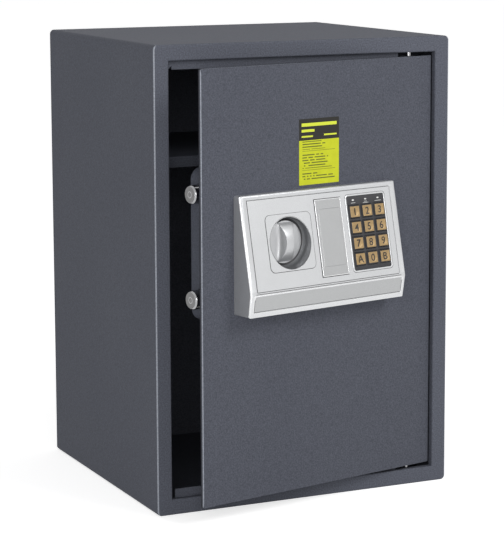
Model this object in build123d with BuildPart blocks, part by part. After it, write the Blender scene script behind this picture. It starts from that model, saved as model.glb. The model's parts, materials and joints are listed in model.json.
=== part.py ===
from build123d import *
from math import atan2, cos, degrees, radians, sin, tan
import os

os.makedirs("parts", exist_ok=True)

# Electronic home safe: a welded steel cabinet, a hinged door with a keypad panel and a knob, and the
# bolt work behind the door. Millimetres, +Z up, +X to the right seen from the front, +Y to the back.
# The origin is the middle of the base. Every piece is drawn with the cabinet's front face at Y = 0
# and moved there when it is done. The door is drawn shut and then swung open about its hinge pins,
# because the safe stands ajar.

# Cabinet
cabinet_width = 350.0
cabinet_height = 500.0
cabinet_depth = 315.0
cabinet_sheet = 2.0
cabinet_corner = 5.0
anchor_hole_diameter = 12.0
anchor_hole_spacing = 200.0

# Front frame round the doorway
frame_lip = 17.0
frame_sheet = 2.5
frame_return = 8.0
frame_bend = 1.8
stop_sheet = 2.0
stop_height = 9.5
stop_end_gap = 5.5
gusset_leg = 11.0

# Door plate and its hinge
door_plate = 4.0
door_recess = 0.5
gap_lock_side = 1.5
gap_hinge_side = 3.0
gap_top_bottom = 4.5
hinge_edge = 26.0
hinge_pin_diameter = 5.0
hinge_pin_gap = 0.05
hinge_pin_wall = 1.0
hinge_pin_grip = 16.0
hinge_pin_reach = 12.0
hinge_block_side = 12.0
hinge_block_height = 26.0
socket_side = 14.0
socket_height = 10.0
ajar_angle = 12.2

# Shelf
shelf_height = 372.0
shelf_front = 78.0
shelf_sheet = 1.5
shelf_lip = 12.0
shelf_side_gap = 2.0
shelf_back_gap = 4.0
bracket_sheet = 2.0
bracket_drop = 14.0
bracket_width = 10.0
bracket_length = 180.0
rest_gap = 0.3

# Keypad panel on the door: a wedge, thin at the top
panel_from_edge = 41.0
panel_width = 210.0
panel_wall = 2.5
panel_top_depth = 9.5
panel_tilt = 11.4
panel_face = 103.0
panel_band_drop = 24.0
panel_band_back = 4.2
panel_round = 2.2
groove_width = 0.9
groove_depth = 0.6
face_border = 8.0
face_border_top = 4.5
band_border = 5.0
boss_diameter = 9.0
boss_inset = 12.0
screw_diameter = 3.8
screw_head = 7.5
screw_head_height = 2.4

# Knob in its bowl
knob_from_edge = 100.0
knob_below_top = 52.5
bezel_side = 60.0
bezel_corner = 6.0
bezel_sheet = 1.2
bowl_diameter = 54.0
bowl_wall = 1.4
bowl_floor_depth = 4.0
bowl_round = 7.0
fit_gap = 0.2
knob_diameter = 45.0
knob_base = 3.0
knob_rise = 17.0
knob_scoop_radius = 28.0
knob_waist = 12.0
knob_crown = 60.0
knob_float = 0.8
spindle_diameter = 8.0

# Emergency lock under its cover plate
cover_gap_share = 0.205
cover_plate_width = 35.5
cover_plate_length = 82.0
cover_plate_sheet = 2.0
cover_pocket = 1.2
cover_badge_inset = 3.5
lock_barrel_diameter = 18.0
lock_head_diameter = 22.0
lock_head = 2.0
lock_head_depth = 14.0
lock_barrel_tail = 8.0
lock_nut_width = 24.0
lock_nut = 4.0
lock_plug_diameter = 10.0
keyway_width = 1.6
keyway_height = 7.0
keyway_depth = 6.0
cam_length = 20.0
cam_width = 9.0
cam_sheet = 2.0

# Keypad
keypad_gap_share = 0.254
keypad_width = 51.0
keypad_length = 79.0
keypad_below_top = 51.5
keypad_proud = 0.5
keypad_frame_depth = 3.2
keypad_flange = 2.0
keypad_flange_sheet = 1.2
key_width = 10.8
key_length = 13.6
key_pitch_across = 17.2
key_pitch_down = 17.4
key_block_below_middle = 4.3
key_proud = 1.4
key_travel = 0.8
key_gap = 0.3
key_bevel = 1.3
led_diameter = 2.4
membrane_sheet = 1.9
board_sheet = 1.6

# Sticker
sticker_width = 54.0
sticker_length = 70.0
sticker_sheet = 0.2
sticker_from_edge = 154.0
sticker_gap = 3.5

# Bolt work behind the door plate
bolt_diameter = 20.0
bolt_pitch = 110.0
bolt_behind_face = 20.0
bolt_length = 60.0
bolt_chamfer = 1.4
bolt_proud = 0.2
bolt_travel = 15.0
bolt_running_gap = 0.15
guide_sheet = 3.0
guide_from_tip = 29.0
guide_foot = 12.0
carriage_sheet = 3.0
carriage_web_above = 26.0
carriage_web_below = 30.0
carriage_web_behind = 7.5
crank_radius = bolt_travel / 2 / sin(radians(45))
crank_disc_diameter = 30.0
crank_disc = 4.0
crank_behind = 1.5
crank_pin_diameter = 5.0
crank_slot_gap = 0.45
guide_pin_diameter = 6.0
guide_pin_head = 10.0
guide_pin_drop = 22.0
guide_pin_spread = 24.0
plunger_diameter = 6.0
plunger_drop = 4.0
plunger_left = 19.0
plunger_length = 30.0
solenoid_width = 22.0
solenoid_height = 26.0
solenoid_above = 10.0

# Inner cover, battery box and reset button
inner_cover_inset = 14.0
inner_cover_width = 236.0
inner_cover_height = 161.0
inner_cover_depth = 36.0
inner_cover_sheet = 1.5
inner_cover_corner = 13.0
inner_cover_edge = 3.0
ear_width = 18.0
ear_length = 13.0
battery_diameter = 14.2
battery_length = 50.0
battery_count = 4
tray_wall = 1.5
tray_clearance = 0.4
battery_lid_sheet = 2.0
contact_sheet = 0.5
button_diameter = 6.0
button_travel = 1.5
button_proud = 3.0
switch_side = 10.0

# Places worked out from the sizes above
aperture_width = cabinet_width - 2 * frame_lip
aperture_top = cabinet_height - frame_lip
door_left = -aperture_width / 2 + gap_lock_side
door_right = aperture_width / 2 - gap_hinge_side
door_bottom = frame_lip + gap_top_bottom
door_top = aperture_top - gap_top_bottom
door_front = door_recess
door_back = door_front + door_plate
hinge_x = door_right - hinge_edge
hinge_y = door_back + hinge_pin_wall + hinge_pin_diameter / 2
hinge = Axis((hinge_x, hinge_y, 0), (0, 0, 1))
lock_z = 293.5
panel_left = door_left + panel_from_edge
panel_middle = panel_left + panel_width / 2
panel_top = lock_z + knob_below_top
fold_z = panel_top - panel_face * cos(radians(panel_tilt))
fold_depth = panel_top_depth + panel_face * sin(radians(panel_tilt))
panel_bottom = fold_z - panel_band_drop
band_depth = fold_depth - panel_band_back
band_tilt = degrees(atan2(panel_band_back, panel_band_drop))
knob_x = door_left + knob_from_edge
bezel_right = knob_x + bezel_side / 2
spare_width = panel_left + panel_width - bezel_right - cover_plate_width - keypad_width
cover_x = bezel_right + cover_gap_share * spare_width + cover_plate_width / 2
keypad_x = cover_x + cover_plate_width / 2 + keypad_gap_share * spare_width + keypad_width / 2
bolt_y = door_front + bolt_behind_face
bolt_tip = door_left - bolt_proud
bolt_end = bolt_tip + bolt_length
web_front = door_back + carriage_web_behind
crank_pin_x = knob_x + bolt_travel / 2
crank_pin_z = lock_z + bolt_travel / 2
crank_front = door_back + crank_behind
crank_back = crank_front + crank_disc
plunger_x = knob_x - plunger_left
plunger_y = web_front + carriage_sheet / 2
web_top = lock_z + carriage_web_above
web_right = knob_x + bolt_travel + crank_pin_diameter
inner_cover_left = door_left + inner_cover_inset
inner_cover_middle = inner_cover_left + inner_cover_width / 2
inner_cover_back = door_back + inner_cover_depth

# The panel's sloping face and the band under it, as planes with Y up the face and Z outward
face = Plane(
    origin=(panel_middle, door_front - panel_top_depth, panel_top),
    x_dir=(1, 0, 0),
    z_dir=(0, -cos(radians(panel_tilt)), sin(radians(panel_tilt))),
)
band = Plane(
    origin=(panel_middle, door_front - fold_depth, fold_z),
    x_dir=(1, 0, 0),
    z_dir=(0, -cos(radians(band_tilt)), -sin(radians(band_tilt))),
)


def front_view(y):
    """A drawing plane seen from the front, at depth y; a negative extrude goes to the back."""
    return Plane.XZ.offset(-y)


def save(part, label):
    """Move a piece so that the middle of the base is the origin, name it and write it."""
    placed = part.moved(Pos(0, -cabinet_depth / 2, 0))
    placed.label = label
    export_step(placed, "parts/" + label + ".step")


def save_on_door(part, label):
    """Swing a piece of the door open to where it stands, name it and write it."""
    swung = part.rotate(hinge, ajar_angle)
    save(swung, label)


# Cabinet shell: top, sides and bottom folded from one sheet, with two anchor holes in the bottom
with BuildPart() as cabinet_shell:
    with BuildSketch(front_view(frame_sheet)):
        with Locations((0, cabinet_height / 2)):
            RectangleRounded(cabinet_width, cabinet_height, cabinet_corner)
            RectangleRounded(cabinet_width - 2 * cabinet_sheet, cabinet_height - 2 * cabinet_sheet,
                             cabinet_corner - cabinet_sheet, mode=Mode.SUBTRACT)
    extrude(amount=-(cabinet_depth - frame_sheet - cabinet_sheet))
    with BuildSketch(Plane.XY.offset(cabinet_sheet)):
        with Locations((0, cabinet_depth / 2)):
            with GridLocations(anchor_hole_spacing, 0, 2, 1):
                Circle(anchor_hole_diameter / 2)
    extrude(amount=-cabinet_sheet, mode=Mode.SUBTRACT)
save(cabinet_shell.part, "cabinet_shell")

# Back panel with two anchor holes
with BuildPart() as back_panel:
    with BuildSketch(front_view(cabinet_depth - cabinet_sheet)):
        with Locations((0, cabinet_height / 2)):
            RectangleRounded(cabinet_width, cabinet_height, cabinet_corner)
            with GridLocations(anchor_hole_spacing, 0, 2, 1):
                Circle(anchor_hole_diameter / 2, mode=Mode.SUBTRACT)
    extrude(amount=-cabinet_sheet)
save(back_panel.part, "back_panel")

# Front frame: the face round the doorway, its folded returns and the door stops at top and bottom
stop_left = -aperture_width / 2 + stop_end_gap
stop_right = hinge_x - socket_side
stop_front = frame_return - stop_sheet
with BuildPart() as front_frame:
    with BuildSketch(front_view(0)):
        with Locations((0, cabinet_height / 2)):
            RectangleRounded(cabinet_width, cabinet_height, cabinet_corner)
    extrude(amount=-frame_sheet)
    with BuildSketch(front_view(0)):
        with Locations((0, cabinet_height / 2)):
            Rectangle(aperture_width + 2 * frame_sheet, aperture_top - frame_lip + 2 * frame_sheet)
    extrude(amount=-frame_return)
    with BuildSketch(front_view(0)):
        with Locations((0, cabinet_height / 2)):
            Rectangle(aperture_width, aperture_top - frame_lip)
    extrude(amount=-frame_return, mode=Mode.SUBTRACT)
    fillet(front_frame.edges().group_by(Axis.Y)[0], frame_bend)
    with BuildSketch(front_view(stop_front)):
        with Locations(((stop_left + stop_right) / 2, aperture_top)):
            Rectangle(stop_right - stop_left, stop_height, align=(Align.CENTER, Align.MAX))
        with Locations(((stop_left + stop_right) / 2, frame_lip)):
            Rectangle(stop_right - stop_left, stop_height, align=(Align.CENTER, Align.MIN))
        with BuildLine():
            Polyline((-aperture_width / 2, aperture_top), (stop_left, aperture_top),
                     (stop_left, aperture_top - gusset_leg + stop_end_gap),
                     (-aperture_width / 2, aperture_top - gusset_leg), close=True)
        make_face()
    extrude(amount=-stop_sheet)
    with BuildSketch(Plane.XY):
        with Locations((hinge_x, hinge_y)):
            Circle(hinge_pin_diameter / 2 + hinge_pin_gap)
    extrude(amount=cabinet_height - 2 * cabinet_sheet, mode=Mode.SUBTRACT)
save(front_frame.part, "front_frame")


def hinge_socket(label, bottom):
    """A drilled block welded behind the frame, which a hinge pin turns in."""
    with BuildPart() as socket:
        with BuildSketch(Plane.XY.offset(bottom)):
            with Locations((hinge_x, frame_sheet)):
                Rectangle(socket_side, socket_side, align=(Align.CENTER, Align.MIN))
            with Locations((hinge_x, hinge_y)):
                Circle(hinge_pin_diameter / 2 + hinge_pin_gap, mode=Mode.SUBTRACT)
        extrude(amount=socket_height)
    save(socket.part, label)


hinge_socket("hinge_socket_top", aperture_top + frame_sheet)
hinge_socket("hinge_socket_bottom", frame_lip - frame_sheet - socket_height)


def shelf_bracket(label, side):
    """An angle welded to a side wall, which the shelf rests on; side is -1 at the left, 1 at the right."""
    wall = side * (cabinet_width / 2 - cabinet_sheet)
    with BuildPart() as bracket:
        with BuildSketch(front_view(shelf_front + shelf_sheet + 1)):
            with BuildLine():
                Polyline((wall, shelf_height), (wall - side * bracket_width, shelf_height),
                         (wall - side * bracket_width, shelf_height - bracket_sheet),
                         (wall - side * bracket_sheet, shelf_height - bracket_sheet),
                         (wall - side * bracket_sheet, shelf_height - bracket_drop),
                         (wall, shelf_height - bracket_drop), close=True)
            make_face()
        extrude(amount=-bracket_length)
    save(bracket.part, label)


shelf_bracket("shelf_bracket_left", -1)
shelf_bracket("shelf_bracket_right", 1)

# Shelf: a tray with a folded front lip and a folded back edge
shelf_width = cabinet_width - 2 * cabinet_sheet - 2 * shelf_side_gap
shelf_back = cabinet_depth - cabinet_sheet - shelf_back_gap
shelf_bottom = shelf_height + rest_gap
with BuildPart() as shelf:
    with BuildSketch(Plane.YZ.offset(-shelf_width / 2)):
        with BuildLine():
            Polyline((shelf_front, shelf_bottom + shelf_sheet), (shelf_back, shelf_bottom + shelf_sheet),
                     (shelf_back, shelf_bottom), (shelf_front + shelf_sheet, shelf_bottom),
                     (shelf_front + shelf_sheet, shelf_bottom - shelf_lip + shelf_sheet),
                     (shelf_front, shelf_bottom - shelf_lip + shelf_sheet), close=True)
        make_face()
    extrude(amount=shelf_width)
    fillet(shelf.edges().filter_by(Axis.X).group_by(Axis.Y)[0].sort_by(Axis.Z)[-1], shelf_sheet * 0.6)
save(shelf.part, "shelf")

# Door plate, drilled for the spindle, the emergency lock and the panel screws
boss_places = [
    (panel_left + boss_inset, panel_top - boss_inset),
    (panel_left + panel_width - boss_inset, panel_top - boss_inset),
    (panel_left + boss_inset, panel_bottom + boss_inset),
    (panel_left + panel_width - boss_inset, panel_bottom + boss_inset),
]
top_boss_reach = panel_top_depth + boss_inset * tan(radians(panel_tilt)) - panel_wall / 2
bottom_boss_reach = band_depth + boss_inset * tan(radians(band_tilt)) - panel_wall / 2
with BuildPart() as door:
    with BuildSketch(front_view(door_front)):
        with Locations(((door_left + door_right) / 2, (door_bottom + door_top) / 2)):
            Rectangle(door_right - door_left, door_top - door_bottom)
        with Locations((knob_x, lock_z)):
            Circle(spindle_diameter / 2 + fit_gap, mode=Mode.SUBTRACT)
        with Locations((cover_x, lock_z)):
            Circle(lock_barrel_diameter / 2 + fit_gap, mode=Mode.SUBTRACT)
        with Locations(boss_places):
            Circle(screw_diameter / 2 + fit_gap, mode=Mode.SUBTRACT)
    extrude(amount=-door_plate)
    fillet(door.edges().filter_by(Axis.Y).group_by(SortBy.LENGTH)[-1].filter_by(
        lambda e: abs(e.center().Z - lock_z) > panel_face), 1.0)
save_on_door(door.part, "door_plate")

# Hinge blocks welded behind the door plate, and the pins pressed into them
hinge_block_places = {"top": door_top - hinge_block_height, "bottom": door_bottom}
for end, block_bottom in hinge_block_places.items():
    with BuildPart() as block:
        with BuildSketch(Plane.XY.offset(block_bottom)):
            with Locations((hinge_x, door_back)):
                Rectangle(hinge_block_side, hinge_block_side, align=(Align.CENTER, Align.MIN))
            with Locations((hinge_x, hinge_y)):
                Circle(hinge_pin_diameter / 2, mode=Mode.SUBTRACT)
        extrude(amount=hinge_block_height)
        fillet(block.edges().filter_by(Axis.Z).group_by(Axis.Y)[-1], 2.0)
    save_on_door(block.part, "hinge_block_" + end)

pin_length = hinge_pin_grip + gap_top_bottom + hinge_pin_reach
for end, pin_bottom in {"top": door_top - hinge_pin_grip, "bottom": frame_lip - hinge_pin_reach}.items():
    with BuildPart() as pin:
        with BuildSketch(Plane.XY.offset(pin_bottom)):
            with Locations((hinge_x, hinge_y)):
                Circle(hinge_pin_diameter / 2)
        extrude(amount=pin_length)
        chamfer(pin.edges().filter_by(GeomType.CIRCLE), 0.5)
    save_on_door(pin.part, "hinge_pin_" + end)

# Panel housing: a wedge-shaped moulding, hollow at the back, with its openings and inset lines
with BuildPart() as panel_housing:
    with BuildSketch(Plane.YZ.offset(panel_left)):
        with BuildLine():
            Polyline((door_front, panel_bottom), (door_front - band_depth, panel_bottom),
                     (door_front - fold_depth, fold_z), (door_front - panel_top_depth, panel_top),
                     (door_front, panel_top), close=True)
        make_face()
    extrude(amount=panel_width)
    fillet(panel_housing.faces().filter_by(Plane.YZ).edges().filter_by(
        lambda e: e.center().Y < door_front - 1), panel_round)
    with BuildSketch(Plane.YZ.offset(panel_left + panel_wall)):
        with BuildLine():
            Polyline((door_front, panel_bottom + panel_wall),
                     (door_front - band_depth + panel_wall, panel_bottom + panel_wall),
                     (door_front - fold_depth + panel_wall, fold_z),
                     (door_front - panel_top_depth + panel_wall * (1 - tan(radians(panel_tilt))),
                      panel_top - panel_wall),
                     (door_front, panel_top - panel_wall), close=True)
        make_face()
    extrude(amount=panel_width - 2 * panel_wall, mode=Mode.SUBTRACT)
    for places, reach in ((boss_places[:2], top_boss_reach), (boss_places[2:], bottom_boss_reach)):
        with BuildSketch(front_view(door_front)):
            with Locations(places):
                Circle(boss_diameter / 2)
        extrude(amount=reach)
    with BuildSketch(front_view(door_front)):
        with Locations(boss_places):
            Circle(screw_diameter / 2)
    extrude(amount=panel_top_depth - 2, mode=Mode.SUBTRACT)
    with BuildSketch(front_view(door_front)):
        with Locations((knob_x, lock_z)):
            Circle(bowl_diameter / 2 + bowl_wall + fit_gap)
        with Locations((cover_x, lock_z)):
            Circle(lock_head_diameter / 2 + 1)
    extrude(amount=fold_depth, mode=Mode.SUBTRACT)
    with BuildSketch(face):
        with Locations((keypad_x - panel_middle, -keypad_below_top)):
            RectangleRounded(keypad_width + 2 * fit_gap, keypad_length + 2 * fit_gap, 2.0)
    extrude(amount=-panel_wall * 1.5, mode=Mode.SUBTRACT)
    with BuildSketch(face):
        with Locations((knob_x - panel_middle, -knob_below_top)):
            RectangleRounded(bezel_side + 2 * fit_gap, bezel_side + 2 * fit_gap, bezel_corner)
        with Locations((cover_x - panel_middle, -knob_below_top)):
            Rectangle(cover_plate_width + 2 * fit_gap, cover_plate_length + 2 * fit_gap)
    extrude(amount=-cover_pocket, mode=Mode.SUBTRACT)
    with BuildSketch(face):
        with Locations((0, -(face_border_top + panel_face) / 2 + 1)):
            Rectangle(panel_width - 2 * face_border, panel_face - face_border_top - 2)
            Rectangle(panel_width - 2 * face_border - 2 * groove_width,
                      panel_face - face_border_top - 2 - 2 * groove_width, mode=Mode.SUBTRACT)
    extrude(amount=-groove_depth, mode=Mode.SUBTRACT)
    with BuildSketch(band):
        with Locations((0, -panel_band_drop / 2)):
            Rectangle(panel_width - 2 * band_border, panel_band_drop - 2 * band_border)
            Rectangle(panel_width - 2 * band_border - 2 * groove_width,
                      panel_band_drop - 2 * band_border - 2 * groove_width, mode=Mode.SUBTRACT)
    extrude(amount=-groove_depth, mode=Mode.SUBTRACT)
save_on_door(panel_housing.part, "panel_housing")

# Screws that hold the panel from behind the door plate
with BuildPart() as panel_screws:
    with BuildSketch(front_view(door_back)):
        with Locations(boss_places):
            Circle(screw_head / 2)
    extrude(amount=-screw_head_height)
    chamfer(panel_screws.edges().group_by(Axis.Y)[-1], 0.6)
    with BuildSketch(front_view(door_back)):
        with Locations(boss_places):
            Circle(screw_diameter / 2)
    extrude(amount=door_plate + panel_top_depth - 3)
save_on_door(panel_screws.part, "panel_screws")

# Knob bezel: a square plate in the face with a round bowl, drilled for the spindle
bowl_radius = bowl_diameter / 2
bowl_floor = door_front - bowl_floor_depth
bowl_lathe = Plane(origin=(knob_x, 0, lock_z), x_dir=(1, 0, 0), z_dir=(0, 0, 1))
with BuildPart() as knob_bezel:
    with BuildSketch(bowl_lathe):
        with BuildLine():
            Polyline((0, bowl_floor), (bowl_radius + bowl_wall, bowl_floor),
                     (bowl_radius + bowl_wall, door_front - fold_depth), (0, door_front - fold_depth), close=True)
        make_face()
    revolve(axis=Axis((knob_x, 0, lock_z), (0, 1, 0)))
    with BuildSketch(face):
        with Locations((0, -panel_face / 2)):
            Rectangle(panel_width, panel_width)
    extrude(amount=fold_depth, mode=Mode.SUBTRACT)
    with BuildSketch(face):
        with Locations((knob_x - panel_middle, -knob_below_top)):
            RectangleRounded(bezel_side, bezel_side, bezel_corner)
    extrude(amount=-bezel_sheet)
    with BuildSketch(bowl_lathe):
        with BuildLine():
            rim = Line((0, door_front - fold_depth), (bowl_radius, door_front - fold_depth))
            wall = Line(rim @ 1, (bowl_radius, bowl_floor - bowl_wall - bowl_round))
            turn = ThreePointArc(wall @ 1,
                                 (bowl_radius - bowl_round * (1 - cos(radians(45))),
                                  bowl_floor - bowl_wall - bowl_round * (1 - sin(radians(45)))),
                                 (bowl_radius - bowl_round, bowl_floor - bowl_wall))
            floor = Line(turn @ 1, (0, bowl_floor - bowl_wall))
            Line(floor @ 1, rim @ 0)
        make_face()
    revolve(axis=Axis((knob_x, 0, lock_z), (0, 1, 0)), mode=Mode.SUBTRACT)
    with BuildSketch(front_view(door_front)):
        with Locations((knob_x, lock_z)):
            Circle(spindle_diameter / 2 + fit_gap)
    extrude(amount=fold_depth, mode=Mode.SUBTRACT)
save_on_door(knob_bezel.part, "knob_bezel")

# Knob: a disc with a raised grip between two round scoops, and its crown rounded end to end
knob_back = bowl_floor - bowl_wall - knob_float
knob_face = knob_back - knob_base
knob_top = knob_face - knob_rise
scoop_offset = knob_scoop_radius + knob_waist / 2
with BuildPart() as knob:
    with BuildSketch(front_view(knob_back)):
        with Locations((knob_x, lock_z)):
            Circle(knob_diameter / 2)
    extrude(amount=knob_base)
    with BuildSketch(front_view(knob_face)):
        with Locations((knob_x, lock_z)):
            Circle(knob_diameter / 2)
        with Locations((knob_x - scoop_offset, lock_z), (knob_x + scoop_offset, lock_z)):
            Circle(knob_scoop_radius, mode=Mode.SUBTRACT)
    extrude(amount=knob_rise)
    with BuildSketch(Plane.YZ.offset(knob_x - knob_diameter)):
        with Locations((knob_top, lock_z)):
            Rectangle(knob_rise * 2, knob_diameter * 2)
        with Locations((knob_top + knob_crown, lock_z)):
            Circle(knob_crown, mode=Mode.SUBTRACT)
    extrude(amount=knob_diameter * 2, mode=Mode.SUBTRACT)
    fillet(knob.edges().group_by(Axis.Y)[-1], 0.8)
    with BuildSketch(front_view(knob_back)):
        with Locations((knob_x, lock_z)):
            Circle(spindle_diameter / 2)
    extrude(amount=-1.0, mode=Mode.SUBTRACT)
save_on_door(knob.part, "knob")

# Spindle through the door plate, and the crank with its pin behind the plate
with BuildPart() as knob_spindle:
    with BuildSketch(front_view(knob_back)):
        with Locations((knob_x, lock_z)):
            Circle(spindle_diameter / 2)
    extrude(amount=-(crank_back - knob_back))
save_on_door(knob_spindle.part, "knob_spindle")

with BuildPart() as crank:
    with BuildSketch(front_view(crank_front)):
        with Locations((knob_x, lock_z)):
            Circle(crank_disc_diameter / 2)
            Circle(spindle_diameter / 2, mode=Mode.SUBTRACT)
    extrude(amount=-crank_disc)
    chamfer(crank.edges().filter_by(GeomType.CIRCLE).group_by(SortBy.RADIUS)[-1], 0.5)
    with BuildSketch(front_view(crank_back)):
        with Locations((crank_pin_x, crank_pin_z)):
            Circle(crank_pin_diameter / 2)
    extrude(amount=-(web_front + carriage_sheet + 1 - crank_back))
save_on_door(crank.part, "crank")

# Two round bolts
for name, bolt_z in {"upper": lock_z + bolt_pitch / 2, "lower": lock_z - bolt_pitch / 2}.items():
    with BuildPart() as bolt:
        with BuildSketch(Plane.YZ.offset(bolt_tip)):
            with Locations((bolt_y, bolt_z)):
                Circle(bolt_diameter / 2)
        extrude(amount=bolt_length)
        chamfer(bolt.edges().group_by(Axis.X)[0], bolt_chamfer)
    save_on_door(bolt.part, "bolt_" + name)

# Carriage that joins the bolts: a flange across their ends and a web with the crank slot
flange_height = bolt_pitch + bolt_diameter
pin_places = [(knob_x - guide_pin_spread, lock_z - guide_pin_drop),
              (knob_x, lock_z - guide_pin_drop)]
with BuildPart() as bolt_carriage:
    with BuildSketch(Plane.YZ.offset(bolt_end)):
        with Locations(((web_front + bolt_y + bolt_diameter / 2) / 2, lock_z)):
            Rectangle(bolt_y + bolt_diameter / 2 - web_front, flange_height)
    extrude(amount=carriage_sheet)
    with BuildSketch(front_view(web_front)):
        with BuildLine():
            Polyline((bolt_end, lock_z - carriage_web_below), (web_right, lock_z - carriage_web_below),
                     (web_right, web_top - plunger_drop),
                     (plunger_x + bolt_travel + plunger_diameter / 2, web_top - plunger_drop),
                     (plunger_x + bolt_travel - plunger_diameter / 2, web_top - plunger_drop),
                     (plunger_x - plunger_diameter / 2, web_top), (bolt_end, web_top), close=True)
        make_face()
        with Locations((crank_pin_x, lock_z + crank_radius * (1 + cos(radians(45))) / 2)):
            SlotCenterToCenter(crank_radius * (1 - cos(radians(45))) + crank_pin_diameter / 2,
                               crank_pin_diameter + 2 * crank_slot_gap, rotation=90, mode=Mode.SUBTRACT)
        for pin_x, pin_z in pin_places:
            with Locations((pin_x + bolt_travel / 2, pin_z)):
                SlotCenterToCenter(bolt_travel + 2 * fit_gap, guide_pin_diameter + 2 * fit_gap,
                                   mode=Mode.SUBTRACT)
    extrude(amount=-carriage_sheet)
save_on_door(bolt_carriage.part, "bolt_carriage")

# Guide plate on the door, with a bearing hole for each bolt
guide_left = bolt_tip + guide_from_tip
with BuildPart() as bolt_guide:
    with BuildSketch(Plane.YZ.offset(guide_left)):
        with Locations((door_back, lock_z)):
            Rectangle(bolt_y + bolt_diameter / 2 + guide_sheet - door_back, flange_height + 2 * guide_sheet,
                      align=(Align.MIN, Align.CENTER))
        with Locations((bolt_y, lock_z + bolt_pitch / 2), (bolt_y, lock_z - bolt_pitch / 2)):
            Circle(bolt_diameter / 2 + bolt_running_gap, mode=Mode.SUBTRACT)
        with Locations((bolt_y, lock_z)):
            SlotCenterToCenter(bolt_pitch / 2, bolt_diameter * 0.7, rotation=90, mode=Mode.SUBTRACT)
    extrude(amount=guide_sheet)
    with BuildSketch(front_view(door_back)):
        with Locations((guide_left, lock_z)):
            Rectangle(guide_foot, flange_height + 2 * guide_sheet, align=(Align.MIN, Align.CENTER))
    extrude(amount=-guide_sheet / 2)
save_on_door(bolt_guide.part, "bolt_guide")

# Shouldered pins that carry the carriage along its two slots
with BuildPart() as carriage_pins:
    with BuildSketch(front_view(door_back)):
        with Locations(pin_places):
            Circle(guide_pin_diameter / 2)
    extrude(amount=-(carriage_web_behind + carriage_sheet + rest_gap))
    with BuildSketch(front_view(web_front + carriage_sheet + rest_gap)):
        with Locations(pin_places):
            Circle(guide_pin_head / 2)
    extrude(amount=-1.8)
    with BuildSketch(front_view(door_back)):
        with Locations(pin_places):
            Circle(guide_pin_head / 2)
    extrude(amount=-(carriage_web_behind - rest_gap))
    chamfer(carriage_pins.edges().group_by(Axis.Y)[-1], 0.5)
save_on_door(carriage_pins.part, "carriage_pins")

# Solenoid over the carriage; its plunger drops behind the web's step when the bolts are out
solenoid_bottom = web_top + solenoid_above
with BuildPart() as solenoid:
    with BuildSketch(Plane.XY.offset(solenoid_bottom)):
        with Locations((plunger_x, door_back)):
            Rectangle(solenoid_width, 2 * (plunger_y - door_back), align=(Align.CENTER, Align.MIN))
        with Locations((plunger_x, plunger_y)):
            Circle(plunger_diameter / 2 + fit_gap, mode=Mode.SUBTRACT)
    extrude(amount=solenoid_height)
    chamfer(solenoid.edges().filter_by(Axis.Z).group_by(Axis.Y)[-1], 1.0)
save_on_door(solenoid.part, "solenoid")

with BuildPart() as plunger:
    with BuildSketch(Plane.XY.offset(web_top + rest_gap)):
        with Locations((plunger_x, plunger_y)):
            Circle(plunger_diameter / 2)
    extrude(amount=plunger_length)
    with BuildSketch(Plane.XY.offset(solenoid_bottom - plunger_drop - rest_gap - 1.5)):
        with Locations((plunger_x, plunger_y)):
            Circle(plunger_diameter / 2 + 1.5)
    extrude(amount=1.5)
save_on_door(plunger.part, "solenoid_plunger")

# Cover plate over the emergency lock, with a raised field
cover_seat = face.offset(-cover_pocket)
with BuildPart() as key_cover:
    with BuildSketch(cover_seat):
        with Locations((cover_x - panel_middle, -knob_below_top)):
            Rectangle(cover_plate_width, cover_plate_length)
    extrude(amount=cover_plate_sheet)
    chamfer(key_cover.faces().sort_by(SortBy.AREA)[-2:].edges().group_by(Axis.Y)[0], 0.5)
    with BuildSketch(cover_seat.offset(cover_plate_sheet)):
        with Locations((cover_x - panel_middle, -knob_below_top)):
            Rectangle(cover_plate_width - 2 * cover_badge_inset, cover_plate_length * 0.74)
    extrude(amount=0.5)
save_on_door(key_cover.part, "lock_cover_plate")

# Emergency lock: threaded barrel through the door plate, its nut, the plug with a keyway, and the cam
lock_face = door_front - lock_head_depth
barrel_back = door_back + lock_barrel_tail
with BuildPart() as lock_barrel:
    with BuildSketch(front_view(lock_face)):
        with Locations((cover_x, lock_z)):
            Circle(lock_head_diameter / 2)
    extrude(amount=-lock_head)
    with BuildSketch(front_view(lock_face)):
        with Locations((cover_x, lock_z)):
            Circle(lock_barrel_diameter / 2)
    extrude(amount=-(barrel_back - lock_face))
    with BuildSketch(front_view(lock_face)):
        with Locations((cover_x, lock_z)):
            Circle(lock_plug_diameter / 2 + hinge_pin_gap)
    extrude(amount=-(barrel_back - lock_face), mode=Mode.SUBTRACT)
save_on_door(lock_barrel.part, "lock_barrel")

with BuildPart() as lock_nut_part:
    with BuildSketch(front_view(door_back)):
        with Locations((cover_x, lock_z)):
            RegularPolygon(lock_nut_width / 2, 6)
            Circle(lock_barrel_diameter / 2, mode=Mode.SUBTRACT)
    extrude(amount=-lock_nut)
save_on_door(lock_nut_part.part, "lock_nut")

with BuildPart() as lock_plug:
    with BuildSketch(front_view(lock_face - rest_gap)):
        with Locations((cover_x, lock_z)):
            Circle(lock_plug_diameter / 2)
    extrude(amount=-(barrel_back - lock_face + 2 * rest_gap))
    with BuildSketch(front_view(lock_face - rest_gap)):
        with Locations((cover_x, lock_z)):
            Rectangle(keyway_width, keyway_height)
    extrude(amount=-keyway_depth, mode=Mode.SUBTRACT)
    with BuildSketch(front_view(barrel_back + rest_gap)):
        with Locations((cover_x, lock_z)):
            Rectangle(lock_plug_diameter / 2, lock_plug_diameter / 2)
    extrude(amount=-cam_sheet * 2)
save_on_door(lock_plug.part, "lock_plug")

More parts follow.
